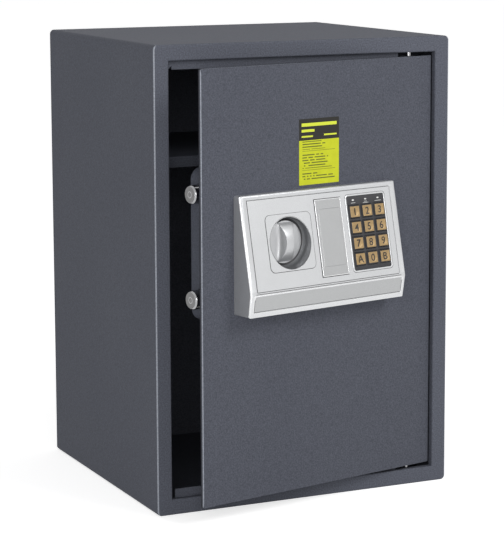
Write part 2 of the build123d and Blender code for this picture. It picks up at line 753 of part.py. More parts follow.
with BuildPart() as lock_cam:
    with BuildSketch(front_view(barrel_back + rest_gap)):
        with Locations((cover_x, lock_z - cam_length / 2)):
            SlotCenterToCenter(cam_length, cam_width + 1, rotation=90)
        with Locations((cover_x, lock_z)):
            Rectangle(lock_plug_diameter / 2, lock_plug_diameter / 2, mode=Mode.SUBTRACT)
    extrude(amount=-cam_sheet)
save_on_door(lock_cam.part, "lock_cam")

# Keypad: a frame with a window for each key and three small lamps over them
keypad_centre = (keypad_x - panel_middle, -keypad_below_top)
key_centre = (keypad_centre[0], keypad_centre[1] - key_block_below_middle)
key_rows = 4
key_columns = 3
lamp_height = keypad_centre[1] + keypad_length / 2 - 4.2
with BuildPart() as keypad_frame:
    with BuildSketch(face.offset(keypad_proud)):
        with Locations(keypad_centre):
            RectangleRounded(keypad_width, keypad_length, 2.0)
    extrude(amount=-(keypad_proud + keypad_frame_depth))
    chamfer(keypad_frame.edges().group_by(SortBy.LENGTH)[-1].group_by(Axis.Y)[0], 0.4)
    with BuildSketch(face.offset(-panel_wall * cos(radians(panel_tilt)))):
        with Locations(keypad_centre):
            Rectangle(keypad_width + 2 * keypad_flange, keypad_length + 2 * keypad_flange)
    extrude(amount=-keypad_flange_sheet)
    with BuildSketch(face.offset(keypad_proud)):
        with Locations(key_centre):
            with GridLocations(key_pitch_across, key_pitch_down, key_columns, key_rows):
                Rectangle(key_width + 2 * key_gap, key_length + 2 * key_gap)
        with Locations((keypad_centre[0], lamp_height)):
            with GridLocations(key_pitch_across, 0, key_columns, 1):
                Circle(led_diameter / 2)
    extrude(amount=-(keypad_proud + keypad_frame_depth + panel_wall), mode=Mode.SUBTRACT)
save_on_door(keypad_frame.part, "keypad_frame")

with BuildPart() as status_lamps:
    with BuildSketch(face.offset(-keypad_frame_depth - 1)):
        with Locations((keypad_centre[0], lamp_height)):
            with GridLocations(key_pitch_across, 0, key_columns, 1):
                Circle(led_diameter / 2)
    extrude(amount=keypad_frame_depth + 1 + keypad_proud)
    fillet(status_lamps.edges().group_by(Axis.Y)[0], 0.4)
save_on_door(status_lamps.part, "status_lamps")

# Twelve keys, each with bevelled edges; rows from the top, columns from the left
key_names = ["1", "2", "3", "4", "5", "6", "7", "8", "9", "a", "0", "b"]
key_back = keypad_frame_depth
for number, key_name in enumerate(key_names):
    row = number // key_columns
    column = number % key_columns
    key_x = key_centre[0] + (column - (key_columns - 1) / 2) * key_pitch_across
    key_y = key_centre[1] - (row - (key_rows - 1) / 2) * key_pitch_down
    with BuildPart() as key:
        with BuildSketch(face.offset(-key_back)):
            with Locations((key_x, key_y)):
                Rectangle(key_width, key_length)
        extrude(amount=key_back + keypad_proud + key_proud)
        key_top = key.faces().sort_by(Axis.Y)[0]
        chamfer(key_top.edges(), key_bevel * 0.7, key_bevel, reference=key_top)
    save_on_door(key.part, "key_" + key_name)

# Rubber mat and circuit board behind the keys
mat_front = keypad_frame_depth + key_travel + 0.1
with BuildPart() as key_mat:
    with BuildSketch(face.offset(-mat_front)):
        with Locations(keypad_centre):
            Rectangle(keypad_width - 2, keypad_length - 2)
        with Locations((keypad_centre[0], lamp_height)):
            Rectangle(keypad_width, 4 * led_diameter, mode=Mode.SUBTRACT)
    extrude(amount=-membrane_sheet)
save_on_door(key_mat.part, "key_mat")

with BuildPart() as circuit_board:
    with BuildSketch(face.offset(-mat_front - membrane_sheet)):
        with Locations(keypad_centre):
            Rectangle(keypad_width, keypad_length)
    extrude(amount=-board_sheet)
save_on_door(circuit_board.part, "circuit_board")

# Sticker over the panel
with BuildPart() as sticker:
    with BuildSketch(front_view(door_front)):
        with Locations((door_left + sticker_from_edge, panel_top + sticker_gap)):
            Rectangle(sticker_width, sticker_length, align=(Align.CENTER, Align.MIN))
    extrude(amount=sticker_sheet)
save_on_door(sticker.part, "sticker")

# Inner cover: a pressed box over the bolt work, with ears, bolt holes, a battery window and a button hole
ear_places = [(inner_cover_middle + side * inner_cover_width / 3, lock_z + end * (inner_cover_height + ear_length) / 2)
              for side in (-1, 1) for end in (-1, 1)]
tray_width = battery_count * battery_diameter + 2 * tray_wall + 2 * tray_clearance
tray_height = battery_length + 2 * tray_wall + 6
tray_x = inner_cover_left + inner_cover_width - tray_width / 2 - 22
tray_z = lock_z - 28
button_x = tray_x
button_z = lock_z + inner_cover_height / 2 - 26
hole_radius = bolt_diameter / 2 + 1
with BuildPart() as inner_cover:
    with BuildSketch(front_view(door_back)):
        with Locations((inner_cover_middle, lock_z)):
            RectangleRounded(inner_cover_width, inner_cover_height, inner_cover_corner)
    extrude(amount=-inner_cover_depth)
    fillet(inner_cover.faces().sort_by(Axis.Y)[-1].edges(), inner_cover_edge)
    with BuildSketch(front_view(door_back)):
        with Locations((inner_cover_middle, lock_z)):
            RectangleRounded(inner_cover_width - 2 * inner_cover_sheet, inner_cover_height - 2 * inner_cover_sheet,
                             inner_cover_corner - inner_cover_sheet)
    extrude(amount=-(inner_cover_depth - inner_cover_sheet), mode=Mode.SUBTRACT)
    with BuildSketch(front_view(door_back)):
        with Locations(ear_places):
            RectangleRounded(ear_width, ear_length + 2, 3.0)
        with Locations((inner_cover_middle, lock_z)):
            Rectangle(inner_cover_width, inner_cover_height - 2 * inner_cover_sheet, mode=Mode.SUBTRACT)
    extrude(amount=-inner_cover_sheet)
    with BuildSketch(Plane.YZ.offset(inner_cover_left)):
        with Locations((bolt_y, lock_z + bolt_pitch / 2), (bolt_y, lock_z - bolt_pitch / 2)):
            Circle(hole_radius)
    extrude(amount=inner_cover_sheet * 2, mode=Mode.SUBTRACT)
    with BuildSketch(front_view(inner_cover_back)):
        with Locations((tray_x, tray_z)):
            Rectangle(tray_width + 2 * fit_gap, tray_height + 2 * fit_gap)
        with Locations((button_x, button_z)):
            Circle(button_diameter / 2 + fit_gap)
    extrude(amount=inner_cover_sheet * 2, mode=Mode.SUBTRACT)
save_on_door(inner_cover.part, "inner_cover")

with BuildPart() as cover_screws:
    with BuildSketch(front_view(door_back + inner_cover_sheet)):
        with Locations(ear_places):
            Circle(screw_head / 2)
    extrude(amount=-screw_head_height)
    fillet(cover_screws.edges().group_by(Axis.Y)[-1], 1.0)
save_on_door(cover_screws.part, "cover_screws")

# Battery tray, its cells, their contacts and the lid
tray_depth = battery_diameter + tray_clearance + tray_wall
tray_front = inner_cover_back - tray_depth
with BuildPart() as battery_tray:
    with BuildSketch(front_view(tray_front)):
        with Locations((tray_x, tray_z)):
            Rectangle(tray_width, tray_height)
    extrude(amount=-tray_depth)
    with BuildSketch(front_view(tray_front + tray_wall)):
        with Locations((tray_x, tray_z)):
            Rectangle(tray_width - 2 * tray_wall, tray_height - 2 * tray_wall)
    extrude(amount=-tray_depth, mode=Mode.SUBTRACT)
save_on_door(battery_tray.part, "battery_tray")

cell_y = tray_front + tray_wall + battery_diameter / 2
with BuildPart() as cells:
    with BuildSketch(Plane.XY.offset(tray_z - battery_length / 2)):
        with Locations((tray_x, cell_y)):
            with GridLocations(battery_diameter, 0, battery_count, 1):
                Circle(battery_diameter / 2 - 0.05)
    extrude(amount=battery_length - 1)
    with BuildSketch(Plane.XY.offset(tray_z + battery_length / 2 - 1)):
        with Locations((tray_x, cell_y)):
            with GridLocations(battery_diameter, 0, battery_count, 1):
                Circle(battery_diameter / 5)
    extrude(amount=1)
save_on_door(cells.part, "battery_cells")

with BuildPart() as contacts:
    for contact_z, side in ((tray_z - battery_length / 2, -1), (tray_z + battery_length / 2, 1)):
        with BuildSketch(Plane.XY.offset(contact_z)):
            with Locations((tray_x, cell_y)):
                with GridLocations(2 * battery_diameter, 0, battery_count // 2, 1):
                    Rectangle(2 * battery_diameter - 2, battery_diameter * 0.7)
        extrude(amount=side * (tray_height - 2 * tray_wall - battery_length) / 2)
save_on_door(contacts.part, "battery_contacts")

with BuildPart() as battery_lid:
    with BuildSketch(front_view(inner_cover_back + rest_gap)):
        with Locations((tray_x, tray_z)):
            RectangleRounded(tray_width + 8, tray_height + 8, 3.0)
    extrude(amount=-battery_lid_sheet)
    fillet(battery_lid.edges().group_by(Axis.Y)[-1], 0.8)
    with BuildSketch(front_view(inner_cover_back + rest_gap + battery_lid_sheet)):
        with Locations((tray_x, tray_z + tray_height / 2 - 4)):
            with GridLocations(0, 3, 1, 3):
                SlotOverall(tray_width / 3, 1.2)
    extrude(amount=0.5, mode=Mode.SUBTRACT)
save_on_door(battery_lid.part, "battery_lid")

# Code-reset button and its switch, fixed inside the cover
with BuildPart() as reset_switch:
    with BuildSketch(front_view(inner_cover_back - inner_cover_sheet - switch_side)):
        with Locations((button_x, button_z)):
            Rectangle(switch_side + 4, switch_side + 4)
    extrude(amount=-switch_side)
    with BuildSketch(front_view(inner_cover_back - inner_cover_sheet)):
        with Locations((button_x, button_z)):
            Circle(button_diameter / 2 + fit_gap)
    extrude(amount=switch_side - 3, mode=Mode.SUBTRACT)
save_on_door(reset_switch.part, "reset_switch")

with BuildPart() as reset_button:
    with BuildSketch(front_view(inner_cover_back - inner_cover_sheet - 2)):
        with Locations((button_x, button_z)):
            Circle(button_diameter / 2)
    extrude(amount=-(inner_cover_sheet + 2 + button_proud))
    fillet(reset_button.edges().group_by(Axis.Y)[-1], 0.8)
save_on_door(reset_button.part, "reset_button")
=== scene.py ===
# %% [markdown]
# # A keypad safe, finished, lit and framed
# The safe arrives as measured solids, one object for each piece, already in place. This lesson gives
# each piece the surface that the real one has: grey powder coat on folded steel, silver paint on the
# panel, bronze-coloured keys, chromed bolts. New pieces are only made where a solid lacks something
# that the eye looks for, such as the figures on the keys.

# %% Load the solids
import json
import bmesh
import bpy
import numpy as np
from math import atan2, cos, radians, sin
from mathutils import Matrix

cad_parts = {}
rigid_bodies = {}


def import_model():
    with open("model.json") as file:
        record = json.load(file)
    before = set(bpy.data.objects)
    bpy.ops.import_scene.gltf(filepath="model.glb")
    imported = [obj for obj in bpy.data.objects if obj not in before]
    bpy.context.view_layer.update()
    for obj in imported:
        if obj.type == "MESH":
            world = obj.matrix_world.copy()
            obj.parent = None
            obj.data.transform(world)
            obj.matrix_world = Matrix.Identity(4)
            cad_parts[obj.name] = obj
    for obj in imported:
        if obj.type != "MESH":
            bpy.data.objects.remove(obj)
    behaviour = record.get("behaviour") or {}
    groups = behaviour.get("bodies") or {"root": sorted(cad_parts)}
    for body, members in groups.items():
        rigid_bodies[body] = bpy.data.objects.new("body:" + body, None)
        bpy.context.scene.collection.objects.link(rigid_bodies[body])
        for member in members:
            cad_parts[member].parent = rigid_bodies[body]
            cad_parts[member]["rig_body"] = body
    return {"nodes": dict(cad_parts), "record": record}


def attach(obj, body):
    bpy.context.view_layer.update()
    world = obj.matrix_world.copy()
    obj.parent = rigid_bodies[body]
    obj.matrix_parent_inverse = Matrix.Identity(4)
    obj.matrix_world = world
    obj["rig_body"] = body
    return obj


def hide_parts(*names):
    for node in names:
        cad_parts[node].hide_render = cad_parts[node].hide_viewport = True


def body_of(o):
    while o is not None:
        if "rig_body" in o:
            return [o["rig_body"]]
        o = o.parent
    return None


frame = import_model()
nodes = frame["nodes"]
slots = {part["node"]: part["material_slot"] for part in frame["record"]["subparts"]}
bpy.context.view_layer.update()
finishes = {}

# %% [markdown]
# ## Where things are
# The safe stands on the floor with the origin under the middle of its base. A new piece on the door is
# easiest to describe with the door shut, in millimetres from the middle of the cabinet's front face, and
# the panel's keypad is easiest on the panel's own sloping face. Three small functions carry whole arrays
# of points from one description to the next, so that each piece is written in its simplest place.

# %% Places in millimetres, and the way to the frame in metres
half_depth = 157.5
hinge_x, hinge_y = 129.0, 8.0
ajar = radians(12.2)
door_left = -156.5
door_front = 0.5
lock_z = 293.5
panel_left, panel_half = -115.5, 105.0
panel_middle = panel_left + panel_half
panel_top = 346.0
panel_stand = 9.5
panel_tilt = radians(11.4)
panel_face = 103.0
fold_y = door_front - panel_stand - panel_face * sin(panel_tilt)
fold_z = panel_top - panel_face * cos(panel_tilt)
band_tilt = atan2(4.2, 24.0)
keypad_x = 50.34
keypad_below_top = 51.5
pad_half = np.array([25.5, 39.5])
pad_middle = np.array([keypad_x - panel_middle, -keypad_below_top])
cover_x, knob_x = -1.678, -56.5
knob_below_top = 52.5


def in_cabinet(points):
    """Points of the cabinet, from the middle of its front face in mm, to the frame in metres."""
    return (points - np.array([0.0, half_depth, 0.0])) / 1000.0


def on_door(points):
    """Points of the shut door, turned about the hinge line by the angle at which it stands ajar."""
    x, y = points[..., 0] - hinge_x, points[..., 1] - hinge_y
    turned = np.stack([hinge_x + x * cos(ajar) - y * sin(ajar),
                       hinge_y + x * sin(ajar) + y * cos(ajar), points[..., 2]], -1)
    return in_cabinet(turned)


def on_face(points):
    """Points of the panel's face: x across from its middle, y up from its top edge, z out of it."""
    x, up, out = points[..., 0], points[..., 1], points[..., 2]
    return on_door(np.stack([panel_middle + x,
                             door_front - panel_stand + up * sin(panel_tilt) - out * cos(panel_tilt),
                             panel_top + up * cos(panel_tilt) + out * sin(panel_tilt)], -1))


def on_band(points):
    """Points of the panel's lower band: x across from its middle, y up from the fold, z out of it."""
    x, up, out = points[..., 0], points[..., 1], points[..., 2]
    return on_door(np.stack([panel_middle + x,
                             fold_y - up * sin(band_tilt) - out * cos(band_tilt),
                             fold_z + up * cos(band_tilt) - out * sin(band_tilt)], -1))


print("keypad centre in the frame:", on_face(np.append(pad_middle, 0.0)).round(4))

# %% [markdown]
# ## The camera
# The photographer stood to the left of the safe, a little above its middle, a good two metres away with a
# long lens. Fitting a camera to the corners of the cabinet gives the place, the three turns and the
# length of the lens. The lens was also moved a little down behind the camera, so that upright edges stay
# nearly upright, which a camera can copy with a vertical shift of the image.

# %% Stand the camera up
camera = bpy.data.objects.new("camera", bpy.data.cameras.new("camera"))
bpy.context.scene.collection.objects.link(camera)
bpy.context.scene.camera = camera
yaw, pitch, roll = radians(24.95), radians(8.29), radians(-0.21)
forward = np.array([sin(yaw) * cos(pitch), cos(yaw) * cos(pitch), -sin(pitch)])
side = np.array([cos(yaw), -sin(yaw), 0.0])
above = np.cross(side, forward)
right = cos(roll) * side + sin(roll) * above
upward = -sin(roll) * side + cos(roll) * above
turn = Matrix(np.stack([right, upward, -forward], -1).tolist()).to_4x4()
camera.matrix_world = Matrix.Translation((-1.006, -2.1825, 0.641)) @ turn
camera.data.sensor_width = 36.0
camera.data.lens = 141.8
camera.data.shift_y = -0.10
camera.data.dof.use_dof = False
camera.data.clip_end = 100.0
print("camera looks along", forward.round(3))

# %% [markdown]
# ## The studio
# The safe stands on a white sweep of paper that has no visible edge. The floor is a real surface, so it
# takes a soft shadow, and it gets some light of its own that only the camera and mirror-like reflections
# see. A white wall all round does the same through the world. Two large soft lamps light the front from
# both sides, and a narrow upright lamp at the left draws a bright line along every rounded edge.

# %% White paper that only the camera and mirrors see glow
floor_span = 30.0
floor_glow = 0.62
room_light, room_white = 0.48, 1.0


def camera_or_mirror(tree):
    """A node value of 1 for rays from the camera, from a gloss or through glass, and 0 for the rest."""
    path = tree.nodes.new("ShaderNodeLightPath")
    first = tree.nodes.new("ShaderNodeMath")
    first.operation = "MAXIMUM"
    tree.links.new(path.outputs["Is Camera Ray"], first.inputs[0])
    tree.links.new(path.outputs["Is Glossy Ray"], first.inputs[1])
    second = tree.nodes.new("ShaderNodeMath")
    second.operation = "MAXIMUM"
    tree.links.new(first.outputs[0], second.inputs[0])
    tree.links.new(path.outputs["Is Transmission Ray"], second.inputs[1])
    return second.outputs[0]


def paper_floor():
    """White paper: a matte surface plus a little light that only the camera and mirrors see."""
    paper = bpy.data.materials.new("paper_floor")
    paper.use_nodes = True
    tree = paper.node_tree
    tree.nodes.clear()
    out = tree.nodes.new("ShaderNodeOutputMaterial")
    matte = tree.nodes.new("ShaderNodeBsdfDiffuse")
    matte.inputs["Color"].default_value = (0.8, 0.8, 0.8, 1)
    glow = tree.nodes.new("ShaderNodeEmission")
    lift = tree.nodes.new("ShaderNodeMath")
    lift.operation = "MULTIPLY"
    lift.inputs[1].default_value = floor_glow
    tree.links.new(camera_or_mirror(tree), lift.inputs[0])
    tree.links.new(lift.outputs[0], glow.inputs["Strength"])
    both = tree.nodes.new("ShaderNodeAddShader")
    tree.links.new(matte.outputs[0], both.inputs[0])
    tree.links.new(glow.outputs[0], both.inputs[1])
    tree.links.new(both.outputs[0], out.inputs["Surface"])
    return paper


# %% Floor and room
corners = floor_span * np.array([(-1, -1, 0), (1, -1, 0), (1, 1, 0), (-1, 1, 0)])
floor_mesh = bpy.data.meshes.new("floor")
floor_mesh.from_pydata(corners.tolist(), [], [(0, 1, 2, 3)])
floor_mesh.materials.append(paper_floor())
floor = bpy.data.objects.new("floor", floor_mesh)
bpy.context.scene.collection.objects.link(floor)

world = bpy.data.worlds.new("white_room")
world.use_nodes = True
bpy.context.scene.world = world
room = world.node_tree
backdrop = room.nodes["Background"]
backdrop.inputs["Color"].default_value = (1, 1, 1, 1)
level = room.nodes.new("ShaderNodeMapRange")
level.inputs["To Min"].default_value = room_light
level.inputs["To Max"].default_value = room_white
room.links.new(camera_or_mirror(room), level.inputs["Value"])
room.links.new(level.outputs["Result"], backdrop.inputs["Strength"])
print("the room lights with", room_light, "and the camera sees", room_white)

# %% Lamps


def soft_lamp(name, place, target, size, power):
    """A square soft lamp at a place, turned to a target, both in metres."""
    data = bpy.data.lights.new(name, "AREA")
    data.size = size
    data.energy = power
    lamp = bpy.data.objects.new(name, data)
    aim = Matrix.Translation(place).to_translation() - Matrix.Translation(target).to_translation()
    lamp.rotation_euler = aim.to_track_quat("Z", "Y").to_euler()
    lamp.location = place
    bpy.context.scene.collection.objects.link(lamp)
    return lamp


soft_lamp("lamp_front_right", (0.75, -1.45, 1.35), (0, 0, 0.3), 0.7, 14)
soft_lamp("lamp_front_left", (-1.2, -2.4, 0.8), (0, 0, 0.25), 1.0, 23)
strip = soft_lamp("lamp_left", (-2.2, -1.1, 0.4), (0, 0, 0.25), 0.25, 8)
strip.data.shape = "RECTANGLE"
strip.data.size_y = 1.4
bpy.context.scene.view_settings.view_transform = "Standard"

# %% [markdown]
# ## Surfaces from a formula
# Most new pieces here are a stack of rings: a rounded rectangle or a circle that changes size as it
# rises. Modelling them by hand would take a box and many bevels for each key. With numpy, one formula
# gives all the points of a ring and a second gives the rings' sizes and heights, and the same two
# functions then make keys, lamp lenses and screw heads.

# %% Rings, stacks and meshes


def rounded_ring(half_x, half_y, radius, count):
    """A rounded rectangle: a circle of that radius whose quarters are pushed out to the four corners."""
    angle = (np.arange(count) + 0.5) * 2 * np.pi / count
    c, s = np.cos(angle), np.sin(angle)
    x = np.sign(c) * (half_x - radius) + radius * c
    y = np.sign(s) * (half_y - radius) + radius * s
    return np.stack([x, y], -1)


def stack(rings, heights):
    """Rings of two numbers a point, each raised to its height: an array of rings of three numbers."""
    flat = np.stack(rings)
    up = np.broadcast_to(np.asarray(heights, float)[:, None, None], flat.shape[:2] + (1,))
    return np.concatenate([flat, up], -1)


def closed_shape(rings):
    """Points and faces of a stack of rings, with a point at each end that closes it."""
    many, count = rings.shape[:2]
    points = np.concatenate([rings.reshape(-1, 3), rings[:1].mean(1), rings[-1:].mean(1)])
    here = np.arange(many * count).reshape(many, count)
    after = np.roll(here, -1, axis=1)
    quads = np.stack([here[:-1], after[:-1], after[1:], here[1:]], -1).reshape(-1, 4)
    first = np.stack([np.full(count, many * count), after[0], here[0]], -1)
    last = np.stack([np.full(count, many * count + 1), here[-1], after[-1]], -1)
    return points, quads.tolist() + first.tolist() + last.tolist()


def closed_band(rings):
    """Points and faces of rings that meet again at the end, as on a picture frame."""
    many, count = rings.shape[:2]
    here = np.arange(many * count).reshape(many, count)
    after, upper = np.roll(here, -1, axis=1), np.roll(here, -1, axis=0)
    quads = np.stack([here, after, np.roll(upper, -1, axis=1), upper], -1).reshape(-1, 4)
    return rings.reshape(-1, 3), quads.tolist()


def piece(name, shapes, body, finish, smooth=35):
    """One object from several shapes, faces outward, smooth up to that angle, riding on a body."""
    points = np.concatenate([p for p, _ in shapes])
    starts = np.cumsum([0] + [len(p) for p, _ in shapes])[:-1]
    faces = [[i + s for i in f] for (_, fs), s in zip(shapes, starts.tolist()) for f in fs]
    mesh = bpy.data.meshes.new(name)
    mesh.from_pydata(points.tolist(), [], faces)
    work = bmesh.new()
    work.from_mesh(mesh)
    bmesh.ops.recalc_face_normals(work, faces=work.faces)
    work.to_mesh(mesh)
    work.free()
    mesh.shade_smooth()
    mesh.set_sharp_from_angle(angle=radians(smooth))
    made = bpy.data.objects.new(name, mesh)
    bpy.context.scene.collection.objects.link(made)
    made.data.materials.append(finishes[finish])
    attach(made, body)
    print(name, "faces", len(mesh.polygons))
    return made


# %% [markdown]
# ## How a finish is written
# Every finish starts from one shader. What makes it look like paint, plating or rubber is how its colour,
# roughness and surface wander a little over the piece. A noise that is fixed to the piece in metres
# drives all three, so a grain has its real size on a small key and on a large wall alike.

# %% Tools for finishes


def start_finish(name, rough, metallic=0.0, coat=0.0, coat_rough=0.1, gloss=0.5):
    """A new material with its shader's plain numbers set, and the place on the piece in metres."""
    made = bpy.data.materials.new(name)
    made.use_nodes = True
    tree = made.node_tree
    shader = tree.nodes["Principled BSDF"]
    shader.inputs["Roughness"].default_value = rough
    shader.inputs["Metallic"].default_value = metallic
    shader.inputs["Coat Weight"].default_value = coat
    shader.inputs["Coat Roughness"].default_value = coat_rough
    shader.inputs["Specular IOR Level"].default_value = gloss
    place = tree.nodes.new("ShaderNodeTexCoord").outputs["Object"]
    finishes[name] = made
    return tree, shader, place


def grain(tree, place, size, detail=2.0):
    """Noise whose lumps are about that many metres across."""
    noise = tree.nodes.new("ShaderNodeTexNoise")
    noise.inputs["Scale"].default_value = 1.0 / size
    noise.inputs["Detail"].default_value = detail
    tree.links.new(place, noise.inputs["Vector"])
    return noise.outputs["Fac"]


def shade(tree, value, dark, light, low=0.3, high=0.7):
    """A colour that goes from dark to light as the value goes from low to high."""
    ramp = tree.nodes.new("ShaderNodeValToRGB")
    ramp.color_ramp.elements[0].position = low
    ramp.color_ramp.elements[1].position = high
    ramp.color_ramp.elements[0].color = (*dark, 1)
    ramp.color_ramp.elements[1].color = (*light, 1)
    tree.links.new(value, ramp.inputs["Fac"])
    return ramp.outputs["Color"]


def spread(tree, value, low, high, shader_input):
    """The value, stretched from low to high, drives one of the shader's numbers."""
    stretch = tree.nodes.new("ShaderNodeMapRange")
    stretch.inputs["To Min"].default_value = low
    stretch.inputs["To Max"].default_value = high
    tree.links.new(value, stretch.inputs["Value"])
    tree.links.new(stretch.outputs["Result"], shader_input)


def relief(tree, value, depth, shader, strength=1.0):
    """The value raises the surface by up to that many metres."""
    bump = tree.nodes.new("ShaderNodeBump")
    bump.inputs["Strength"].default_value = strength
    bump.inputs["Distance"].default_value = depth
    tree.links.new(value, bump.inputs["Height"])
    tree.links.new(bump.outputs["Normal"], shader.inputs["Normal"])


def tinted(colour, factor):
    """A colour made darker or lighter by a factor."""
    return tuple(round(c * factor, 5) for c in colour)


# %% [markdown]
# ### Powder coat on the cabinet and the door
# The steel is sprayed with dry powder and baked, which leaves a fine pebbled skin, satin and not glossy.
# A photograph of leather or paint could be wrapped round it, but a noise of about a millimetre does the
# same from every side. Two noises are used: a fine one for the pebbles and a broad one for the slight
# unevenness of a sprayed wall. The bends get a paler, glossier copy of the coat of their own: a painted
# highlight where they catch the lamps.

# %% Powder coat
pebble_size, wall_patch = 0.0015, 0.16


def powder(name, colour, pebble, depth, rough, gloss):
    """Pebbled paint: fine noise for relief and shine, broad noise for a slight change of colour."""
    tree, shader, place = start_finish(name, rough, gloss=gloss)
    fine = grain(tree, place, pebble, 3.0)
    broad = grain(tree, place, wall_patch, 1.0)
    blend = tree.nodes.new("ShaderNodeMix")
    blend.data_type = "RGBA"
    blend.blend_type = "MULTIPLY"
    blend.inputs["Factor"].default_value = 1.0
    tree.links.new(shade(tree, fine, tinted(colour, 0.74), tinted(colour, 1.26)), blend.inputs["A"])
    tree.links.new(shade(tree, broad, (0.94, 0.94, 0.95), (1.0, 1.0, 1.0)), blend.inputs["B"])
    tree.links.new(blend.outputs["Result"], shader.inputs["Base Color"])
    spread(tree, fine, rough - 0.06, rough + 0.08, shader.inputs["Roughness"])
    relief(tree, fine, depth, shader, 0.6)


powder("powder_coat", (0.077, 0.082, 0.101), pebble_size, 0.00026, 0.66, 0.12)
# A lighter copy of the coat for the frame's face: painted light.
powder("powder_painted_lit_frame", (0.090, 0.096, 0.118), pebble_size, 0.00026, 0.66, 0.12)
# A paler, glossier copy of the coat for folded edges: a painted highlight.
powder("powder_painted_highlight", (0.23, 0.247, 0.285), pebble_size, 0.00004, 0.32, 0.5)
powder("inner_steel", (0.063, 0.068, 0.085), pebble_size, 0.00012, 0.6, 0.15)
print("powder coats:", sorted(finishes))

# %% [markdown]
# ### Silver paint on the panel and the knob
# The panel is a plastic moulding with aluminium-coloured paint and a thin clear layer over it. The paint
# holds tiny flakes, so it is a little brighter in points, and it is mostly like metal, with broad
# soft reflections. Cells about a quarter of a millimetre wide stand for the flakes.

# %% Silver paint
flakes_per_metre = 4500.0


def silver(name, dark, light, like_metal=0.72, rough=0.3):
    """Flaked paint: each cell has its own shade between two greys, and its edges give a faint relief."""
    tree, shader, place = start_finish(name, rough, like_metal, 0.35 * like_metal, 0.08, 0.4)
    flakes = tree.nodes.new("ShaderNodeTexVoronoi")
    flakes.inputs["Scale"].default_value = flakes_per_metre
    tree.links.new(place, flakes.inputs["Vector"])
    tree.links.new(shade(tree, flakes.outputs["Color"], dark, light), shader.inputs["Base Color"])
    spread(tree, grain(tree, place, 0.02), rough - 0.04, rough + 0.04, shader.inputs["Roughness"])
    relief(tree, flakes.outputs["Distance"], 0.00001, shader, 0.25)


silver("silver_plastic", (0.53, 0.535, 0.545), (0.61, 0.62, 0.63))
silver("silver_cover", (0.385, 0.39, 0.393), (0.45, 0.456, 0.46))
silver("silver_inlay", (0.34, 0.345, 0.348), (0.40, 0.405, 0.41))
silver("silver_knob", (0.44, 0.445, 0.455), (0.50, 0.505, 0.515), 0.5, 0.4)
# A darker copy of the silver for the bezel's bowl: painted shade.
silver("silver_painted_shade_bowl", (0.20, 0.205, 0.215), (0.24, 0.245, 0.255), 0.5, 0.36)
silver("silver_painted_highlight_line", (0.74, 0.745, 0.75), (0.80, 0.805, 0.81), 0.6, 0.26)
print("silver paint has flakes of", round(1 / flakes_per_metre, 5), "m")

# %% [markdown]
# ### Moulded plastic and rubber
# The keypad frame, the battery tray and the lid are dark mouldings with the faint pebble of an etched
# mould. The silicone mat behind the keys is softer and duller. The circuit board is green laminate whose
# weave shows as fine crossed ridges.

# %% Mouldings, mat and board


def moulding(name, colour, pebble, depth, rough, coat=0.0):
    """Etched plastic: fine noise for relief, a slightly broader one for colour."""
    tree, shader, place = start_finish(name, rough, coat=coat)
    fine = grain(tree, place, pebble, 2.0)
    tree.links.new(shade(tree, grain(tree, place, pebble * 9), tinted(colour, 0.88), tinted(colour, 1.12)),
                   shader.inputs["Base Color"])
    spread(tree, fine, rough - 0.05, rough + 0.05, shader.inputs["Roughness"])
    relief(tree, fine, depth, shader, 0.5)


moulding("black_plastic", (0.014, 0.014, 0.017), 0.0006, 0.00003, 0.5)
moulding("rubber", (0.30, 0.30, 0.31), 0.0009, 0.00004, 0.75)
moulding("red_plastic", (0.55, 0.03, 0.03), 0.0005, 0.00001, 0.3, 0.3)
moulding("cell_wrap", (0.035, 0.07, 0.05), 0.0012, 0.00001, 0.3, 0.4)
moulding("lamp", (0.72, 0.72, 0.70), 0.0007, 0.00001, 0.18, 0.5)
moulding("gap_shadow", (0.03, 0.03, 0.032), 0.0005, 0.00001, 0.7)
moulding("legend", (0.012, 0.009, 0.007), 0.0005, 0.00001, 0.5)
moulding("pale_print", (0.45, 0.45, 0.44), 0.0005, 0.00001, 0.5)
print("mouldings:", len(finishes))

# %% Board
tree, shader, place = start_finish("board", 0.35, coat=0.3)
weave = tree.nodes.new("ShaderNodeTexWave")
weave.inputs["Scale"].default_value = 900.0
weave.inputs["Distortion"].default_value = 0.6
tree.links.new(place, weave.inputs["Vector"])
laminate = shade(tree, weave.outputs["Fac"], (0.012, 0.10, 0.035), (0.02, 0.15, 0.05))
tree.links.new(laminate, shader.inputs["Base Color"])
relief(tree, weave.outputs["Fac"], 0.00002, shader, 0.4)
print("board finish has", len(tree.nodes), "nodes")

# %% [markdown]
# ### Bare and plated metal
# Chrome is smooth and takes its look from what stands round it, so it only needs a faint haze. Zinc
# plating on small steel parts is duller, with a slight crystal pattern. The lock's plug is turned brass,
# and the keys are plastic with a bronze-coloured metal film.

# %% Plated parts


def plated(name, colour, rough, mark, depth, metallic=1.0, coat=0.0):
    """Metal film: noise for the haze, and cells for the crystals or tool marks in it."""
    tree, shader, place = start_finish(name, rough, metallic, coat)
    cells = tree.nodes.new("ShaderNodeTexVoronoi")
    cells.inputs["Scale"].default_value = 1.0 / mark
    tree.links.new(place, cells.inputs["Vector"])
    tree.links.new(shade(tree, cells.outputs["Distance"], tinted(colour, 1.04), tinted(colour, 0.9)),
                   shader.inputs["Base Color"])
    spread(tree, grain(tree, place, mark * 3), rough * 0.8, rough * 1.3, shader.inputs["Roughness"])
    relief(tree, cells.outputs["Distance"], depth, shader, 0.3)


